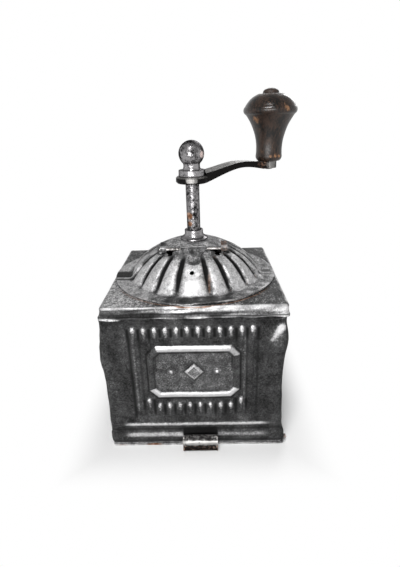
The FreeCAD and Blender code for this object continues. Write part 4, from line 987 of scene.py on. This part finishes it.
def paint_dome(obj, points, front):
    """Paint of the dome: worn metal with painted highlight on the lower lobes, most towards the front,
    painted shade in the grooves, speckled foot; front is the flap.
    """
    x, y, z = points
    azimuth, r, across = around(x, y)
    groove, _, share = lobes(azimuth, r)
    crest = np.sin(np.pi * share) ** 1.1
    # Painted highlight: the lobes facing the front are brighter, the middle one toned down, the crown
    # brighter on the left and the flange at the sides.
    facing = 0.4 + 0.6 * np.clip(np.cos(np.radians(azimuth)) * 1.3, 0, 1)
    lobe = (0.28 + 1.05 * ramp(r, 23, 16) * crest * facing) * ramp(r, 53, -5)
    lobe -= 0.22 * hill(across, 0, 14) * ramp(r, 36, 5)
    crown = 0.55 * ramp(r, 28, -8) * (0.8 + 0.2 * ramp(x, 0, -10))
    flange = ramp(r, 49, 2) * (0.20 + 0.52 * ramp(x, -14, -20) + 0.30 * ramp(x, 18, 20))
    pad = bell(across, 8.6, 4) * bell(r - BULGE_R, 4.6, 4)
    over_pad = bell(across, 6.5, 4) * bell(r - 38.5, 3.5, 4)
    ring = hill(np.hypot(x - LOST_HOLE[0], y - LOST_HOLE[1]), 3.4, 1.8) * (z > 118)
    worn = most(lobe, crown, 0.42 * hill(r, 49.5, 3), flange, 0.70 * pad, 0.85 * ring, 0.62 * over_pad)
    worn = most(worn + 0.14 * waves(x, y, 9, 51),
                hill(r, FLANGE_R, 0.8) * (0.55 + 0.3 * waves(azimuth * 0.5, r, 12, 52)))
    # Painted shade in the grooves, lighter where they are rust brown.
    deep = np.clip(-groove / GROOVE_DEPTH, 0, 1)
    brown = bell(across - BROWN_ACROSS, 2.0) * ramp(r, 36, 3) * ramp(r, 48.5, -3) * (y < 0)
    grime = 1.15 * ramp(deep, 0.5 * ramp(r, 37, 11), 0.9) * (1 - 0.6 * brown)
    right = ramp(azimuth, 22, 6) * ramp(azimuth, 88, -8)
    rust = 0.42 * right * hill(deep, 0.45, 0.4) + 0.55 * brown
    if front:
        # The flap's cut edge is painted bright, worn metal and painted highlight, with painted shade in
        # front of it on the left.
        lip = hill(y, PARTING_Y - 0.7, 1.5) * (1.2 * (x < -30) + 0.9 * (x > 48)) * ramp(r, 30, 6)
        worn = most(worn, lip, 0.4 * hill(x, 0, 9) * ramp(r, 36, -6))
        grime = most(grime, 0.7 * hill(y, PARTING_Y - 3.8, 2.6) * (x < -32))
    else:
        # Painted shadow of the flap's raised edge on the rear flange at the left.
        grime = most(grime, 1.3 * ramp(x, -44, -4) * ramp(y, 5, -9))
    even = 0.5 * pad + 0.25 * crest * ramp(r, 34, 6) - 0.5 * ramp(r, 30, -6)
    paint(obj, worn=np.clip(worn, 0, 1.2) * (1 - 0.6 * np.clip(grime, 0, 1)), rust=np.clip(rust, 0, 1),
          grime=grime, even=even)


def parted(parting_y, notch_x, ear_y, inner_x, inner_y):
    """Stepped parting line from the far side to the middle, right half and left half."""
    right = [(FAR, parting_y), (notch_x, parting_y), (notch_x, ear_y), (inner_x, ear_y), (inner_x, inner_y)]
    return right, [(-x, y) for x, y in right]


def dome_halves():
    """Fixed rear half and hinged front half, parted along the hinge with a notch for its ears."""
    high = span("dome_rear")[1][2] + 30
    rear = dome_shell("dome_rear_sheet", span("dome_rear")[0][2])
    right, left = parted(PARTING_Y + PARTING_GAP, NOTCH_HALF - 0.3, PIN_Y + 3.6, EAR_FROM - 0.7,
                         PIN_Y + KNUCKLE_R + 0.3)
    cut(rear, prism([(-FAR, -FAR), (FAR, -FAR)] + right + left[::-1], LOW, high))
    paint_dome(rear, place(rear, "housing", "dome_sheet", "dome_rear"), False)
    flap = dome_shell("dome_flap_sheet", span("dome_flap")[0][2])
    right, left = parted(PARTING_Y - PARTING_GAP, NOTCH_HALF, PIN_Y + 0.8, EAR_FROM + 0.2, PIN_Y - 2.3)
    edge = prism(left + right[::-1] + [(FAR, FAR), (-FAR, FAR)], LOW, high)
    reliefs = [round_cutter(RELIEF_R, LOW, high, (side * RELIEF_X, PIN_Y - 3.5, 0)) for side in (-1, 1)]
    x, y = LOST_HOLE
    outward = (x, y, math.sqrt(DOME_R ** 2 - x ** 2 - y ** 2))
    cut(flap, edge, *reliefs, round_cutter(LOST_HOLE_R, 30, 90, (0, 0, DOME_MID), outward))
    paint_dome(flap, place(flap, "flap", "dome_sheet", "dome_flap"), True)


def strap(name, half_width, reach, sweep, side, body, rust=0.05):
    """Strap that follows the dome and curls round the hinge pin; side is -1 in front of the pin."""
    pin_z = middle_of("hinge_pin")[2]
    curl_r, curl_from = KNUCKLE_R - SHEET / 2, 1.6
    across = np.linspace(-1, 1, 13)
    rows = []
    for share in np.linspace(0, 1, 26):
        off = reach + (curl_from - reach) * share
        x, y = across * half_width(share), PIN_Y + side * off
        z = DOME_MID + np.sqrt(most(DOME_R ** 2 - x ** 2 - y ** 2, 1)) + SHEET / 2 + 0.1
        pull = ramp(off, curl_from + 5, -5)
        rows.append((x, y + 0 * x, z * (1 - pull) + (pin_z + curl_r) * pull))
    for a in np.radians(np.linspace(60, sweep, 22)):
        rows.append((across * half_width(1), PIN_Y + side * curl_r * math.cos(a) + 0 * across,
                     pin_z + curl_r * math.sin(a) + 0 * across))
    middle = np.moveaxis(np.array(rows), 1, 2)
    away = np.cross(np.gradient(middle, axis=1), np.gradient(middle, axis=0))
    away /= np.linalg.norm(away, axis=-1, keepdims=True)
    piece = sheet_shell(name, middle + away * SHEET / 2, middle - away * SHEET / 2)
    x, y, z = place(piece, body, "dome_sheet", sharp=50)
    knuckle = (z > pin_z + 1.0) * (np.abs(y - PIN_Y) < 2.2)
    paint(piece, worn=0.34 + 0.45 * knuckle + 0.15 * waves(x, y, 6, 61), rust=rust, grime=0, even=0)
    return piece


def hinge():
    """The flap's tongue and knuckle, and the rear half's two ears."""
    def tongue(share):
        point = math.sqrt(1 - (1 - min(share / 0.10, 1)) ** 2)
        return max(point * (3.9 + 1.3 * share / 0.6 + (KNUCKLE_HALF - 5.2) * ramp(share, 0.45, 0.5)), 0.8)

    strap("flap_tongue", tongue, 16.5, 300, -1, "flap")
    for name, side, rust in (("hinge_ear_left", -1, 0.1), ("hinge_ear_right", 1, 0.45)):
        ear = strap(name, lambda share: EAR_W / 2, 6, 330, 1, "housing", rust)
        ear.data.transform(Matrix.Translation((side * (EAR_FROM + EAR_W / 2) * MM, 0, 0)))


# Turned pieces, from outlines of (radius, height)

SIDES = 144


def arc(start, through, end, count=12):
    """Points after start on the arc through three points of a profile."""
    a = complex(*start)
    b, c = complex(*through) - a, complex(*end) - a
    centre = -1j * (c * abs(b) ** 2 - b * abs(c) ** 2) / (2 * (b.conjugate() * c).imag)
    middle, turn = (cmath.phase(1 - p / centre) % (2 * math.pi) for p in (b, c))
    if middle > turn:
        turn -= 2 * math.pi
    points = a + centre * (1 - np.exp(1j * turn * np.arange(1, count + 1) / count))
    return list(zip(points.real, points.imag))


def softened(profile, r):
    """Profile with its sharp corners given a small round."""
    profile = [np.array(point) for point in profile]
    points = []
    for before, here, after in zip(profile[-1:] + profile, profile, profile[1:] + profile[:1]):
        a, b = before - here, after - here
        la, lb = np.linalg.norm(a), np.linalg.norm(b)
        bend = math.acos(np.clip(-(a @ b) / (la * lb), -1, 1))
        if bend < math.radians(25):
            points.append(here)
            continue
        cut_back = min(r, 0.4 * la, 0.4 * lb)
        start, end = here + a / la * cut_back, here + b / lb * cut_back
        points += [(1 - t) ** 2 * start + 2 * t * (1 - t) * here + t * t * end
                   for t in np.linspace(0, 1, 4)]
    return points


def turned(name, profile, centre, body, slot, node, corner_r, wobble=0.0, rubbed_and_lit=((0, 0),)):
    """Closed lathe piece; its last argument gives the wear and painted highlight over its height."""
    rows = []
    profile = softened(profile, corner_r)
    for here, after in zip(profile, profile[1:] + profile[:1]):
        steps = max(1, math.ceil(math.dist(here, after) / 1.2))
        rows += [here + (after - here) * k / steps for k in range(steps)]
    turn = np.arange(SIDES) * 2 * np.pi / SIDES
    reach, level = (column[:, None] + 0 * turn for column in np.array(rows).T)
    sin, cos = np.sin(turn), np.cos(turn)
    reach = reach + wobble * waves(reach * cos * 1.5 + level, reach * sin * 1.5, 16, len(rows))
    points = np.stack((centre[0] + reach * cos, centre[1] + reach * sin, level), -1)
    index = np.arange(len(rows) * SIDES).reshape(-1, SIDES)
    below, beside = np.roll(index, -1, 0), np.roll(index, -1, 1)
    faces = np.stack((index, beside, np.roll(below, -1, 1), below), -1)
    piece = quad_object(name, points.reshape(-1, 3), faces.reshape(-1, 4))
    x, y, z = place(piece, body, slot, node, sharp=40)
    paint(piece, worn=np.interp(z, *zip(*rubbed_and_lit)) + 0.25 * waves(x * 1.3 + z, y * 1.3, 8, 81), rust=0)


def knob():
    """Wooden grip with a well for the spindle's end, and the button over it."""
    lo, hi = span("knob")
    foot, top = lo[2], hi[2]
    widest = foot + 35.3
    bore, well, well_low = 2.55, 5.0, top - 9
    profile = [(bore, foot), (8.0, foot)]
    profile += arc(profile[-1], (9.457, foot + 1.77), (9.604, foot + 4.59), 6)
    profile += arc(profile[-1], (10.388, foot + 16.59), (17.557, foot + 32.11), 20)
    profile += arc(profile[-1], (19.4, widest), (18.43, widest + 2.06), 12)
    profile += arc(profile[-1], (15.52, widest + 6.18), (9.1, top), 12)
    profile += [(well, top), (well, well_low), (bore, well_low)]
    turned("turned_knob", profile, middle_of("knob"), "grip", "dark_wood", "knob", 0.5, wobble=0.12)
    lo, hi = span("knob_cap")
    foot, peg, axis = top + 0.05, 4.95, 0.02
    profile = [(axis, lo[2]), (peg, lo[2]), (peg, foot), (5.7, foot)]
    profile += arc(profile[-1], (5.62, foot + 1.4), (4.7, hi[2] - 1.2), 8)
    profile += arc(profile[-1], (2.6, hi[2] - 0.35), (axis, hi[2]), 8)
    turned("knob_button", profile, middle_of("knob_cap"), "grip", "dark_wood", "knob_cap", 0.3,
           rubbed_and_lit=((0, -0.4),))


def shaft_fittings():
    """Ball nut over the crank's hub, and the collar under it."""
    lo, hi = span("ball_nut")
    foot, flange = lo[2], lo[2] + 4.2
    ball_r, flange_r, bore, neck_r, axis = 8.75, 9.25, 3.05, 6.0, 0.02
    ball_z = hi[2] - ball_r
    bore_top = ball_z - 4.3
    join = ball_z - math.sqrt(ball_r ** 2 - neck_r ** 2)
    profile = [(bore, foot), (flange_r, foot), (flange_r, flange), (6.6, flange)]
    profile += arc(profile[-1], (5.75, (flange + join) / 2), (neck_r, join), 8)
    profile += arc(profile[-1], (ball_r, ball_z), (axis, hi[2]), 36)
    profile += [(axis, bore_top), (bore, bore_top)]
    # Bands of bright metal on the flange and neck: wear and painted highlight.
    turned("turned_ball", profile, (0, 0), "crank", "shaft_steel", "ball_nut", 0.5, wobble=0.05,
           rubbed_and_lit=((flange - 0.5, 0.35), (flange + 0.3, 0.7), (join, 0.6), (join + 3, 0.15), (hi[2], 0.1)))
    lo, hi = span("shaft_collar")
    stem, top = lo[2], hi[2]
    foot, bore, stem_r, foot_r, top_r = top - 7.2, 4.85, 6.2, 9.9, 6.65
    profile = [(bore, stem), (stem_r, stem), (stem_r, foot), (foot_r, foot), (foot_r, foot + 1.4)]
    profile += arc(profile[-1], (7.65, foot + 2.75), (top_r, foot + 4.1), 8)
    profile += [(top_r, top), (bore, top)]
    # The collar's foot and shoulder are painted bright: wear and painted highlight.
    turned("turned_collar", profile, (0, 0), "housing", "shaft_steel", "shaft_collar", 0.5, wobble=0.06,
           rubbed_and_lit=((foot, 0.45), (foot + 4, 0.7), (top, 0.4)))


def tab():
    """Pull tab: a strip under the drawer, rolled up in front of the panel."""
    lo, hi = span("pull_tab")
    mid_x, plain_half = (lo[0] + hi[0]) / 2 + 0.35, (hi[0] - lo[0]) / 2
    half, strip_half = plain_half + 0.75, plain_half - 0.4
    lowest, tip = lo[2] + SHEET / 2, lo[1] + SHEET / 2
    strip_end = tip + 5.2
    line = [(hi[1] + (strip_end - hi[1]) * i / 12, lowest) for i in range(12)]
    line += arc((strip_end, lowest), (tip + 3.2, 0.85), (tip + 1.1, 0.75), 5)
    line += arc(line[-1], (tip, 4.0), (tip + 0.15, 7.4), 8)
    line += arc(line[-1], (tip + 1.7, 10.1), (tip + 4.7, 11.2), 8)
    line = np.array(line)
    step = np.gradient(line, axis=0)
    away = np.stack((0 * step[:, 0], step[:, 1], -step[:, 0]), -1) / np.linalg.norm(step, axis=1)[:, None]
    rolled = ramp(line[:, 0], strip_end, -3)[:, None]
    last_two = most(np.arange(len(line)) - len(line) + 3, 0)[:, None]
    across = np.concatenate(([-1, -0.985, -0.96], np.linspace(-0.9, 0.9, 19), [0.96, 0.985, 1]))
    x = mid_x + across * (strip_half + rolled * (half - strip_half) - 0.3 * last_two)
    bend = rolled * (0.35 * (np.abs(across) > 0.93) + 0.12 * waves(x, x * 0, 9, 71))
    grid = np.stack((x, line[:, :1] + 0 * x, line[:, 1:] + 0 * x), -1)
    grid -= 0.6 * bend[..., None] * away[:, None]
    half_sheet = away[:, None] * SHEET / 2
    piece = sheet_shell("rolled_tab", grid + half_sheet, grid - half_sheet)
    x, _, z = place(piece, "drawer", "tab_steel", "pull_tab", sharp=50)
    rim = ramp(np.abs(x - mid_x), half - 1.2, 0.6) + ramp(z, 10.8, 0.5)
    # Painted highlight in a band across the roll's front, worn bright edges, darker paint above the band,
    # rust below it.
    worn = 1.2 * hill(z, 8.3, 1.9) + 0.5 * rim - 0.5 * ramp(z, 9.4, 1) - 0.8 * ramp(z, 7.2, -1.4)
    paint(piece, worn=worn, rust=0.32 * ramp(z, 7.2, -1.6) + 0.18 * rim)


# Stage, in metres

FLOOR_R, FLOOR_DROP = 2.5, 0.0002
FADE_FROM, FADE_TO = 0.064, 0.098
# Soft lights: name, place, aim, width, height and watts
LIGHTS = (("front", (-0.10, -0.60, 0.17), (0, 0, 0.14), 0.40, 0.20, 2.8),
          ("key", (-0.04, -0.28, 0.56), (0, -0.03, 0.11), 0.15, 0.15, 1.75),
          ("back", (0.25, 0.75, 0.55), (0, 0, 0.11), 0.40, 0.40, 2.4))


def rays_that_see(n):
    """1 for camera, glossy and transmission rays."""
    path = n.add("ShaderNodeLightPath")
    seen = [path.outputs[f"Is {kind} Ray"] for kind in ("Camera", "Glossy", "Transmission")]
    return n.fold("MAXIMUM", seen)


def make_world():
    """White all round where it is seen, soft and dimmer overhead as a light."""
    world = bpy.data.worlds.new("studio")
    world.use_nodes = True
    n = Nodes(world.node_tree)
    up = n.made("ShaderNodeSeparateXYZ", {0: n.add("ShaderNodeTexCoord").outputs["Generated"]}, 2)
    color = n.mix(n.step(up, 0.25, 0.75), (1.0, 1.0, 1.0), (0.45, 0.45, 0.45))
    strength = n.blend(rays_that_see(n), 0.30, 1.0)
    back = n.made("ShaderNodeBackground", {"Color": color, "Strength": strength})
    n.link(back, n.add("ShaderNodeOutputWorld").inputs[0])
    bpy.context.scene.world = world


def make_floor():
    """Pale floor that keeps the object's shadow and fades into the white background."""
    bm = bmesh.new()
    bmesh.ops.create_grid(bm, x_segments=2, y_segments=2, size=FLOOR_R)
    floor = bmesh_object("floor", bm)
    floor.location = (0, 0, -FLOOR_DROP)
    material, n = surface("pale_floor")
    diffuse = n.made("ShaderNodeBsdfDiffuse", {"Color": (0.93, 0.93, 0.93)})
    glow = n.made("ShaderNodeEmission", {"Color": (1.0, 1.0, 1.0)})
    away = n.fold("MAXIMUM", [n.math("ABSOLUTE", axis) for axis in n.axes[:2]])
    fade = n.times(n.step(away, FADE_FROM, FADE_TO), rays_that_see(n))
    mixed = n.made("ShaderNodeMixShader", {0: fade, 1: diffuse, 2: glow})
    n.link(mixed, n.add("ShaderNodeOutputMaterial").inputs[0])
    dress(floor, material)


def make_lights():
    for name, at, towards, wide, tall, watts in LIGHTS:
        data = bpy.data.lights.new(name, "AREA")
        data.shape, data.size, data.size_y, data.energy = "RECTANGLE", wide, tall, watts
        light = link_object(name, data)
        light.location = at
        light.rotation_euler = (Vector(towards) - Vector(at)).to_track_quat("-Z", "Y").to_euler()
        light.visible_camera = False


dress_frame()
front_panel()
box_walls()
base()
cover()
dome_halves()
hinge()
knob()
shaft_fittings()
tab()
make_camera()
make_world()
make_floor()
make_lights()
bpy.context.scene.view_settings.view_transform = "Standard"
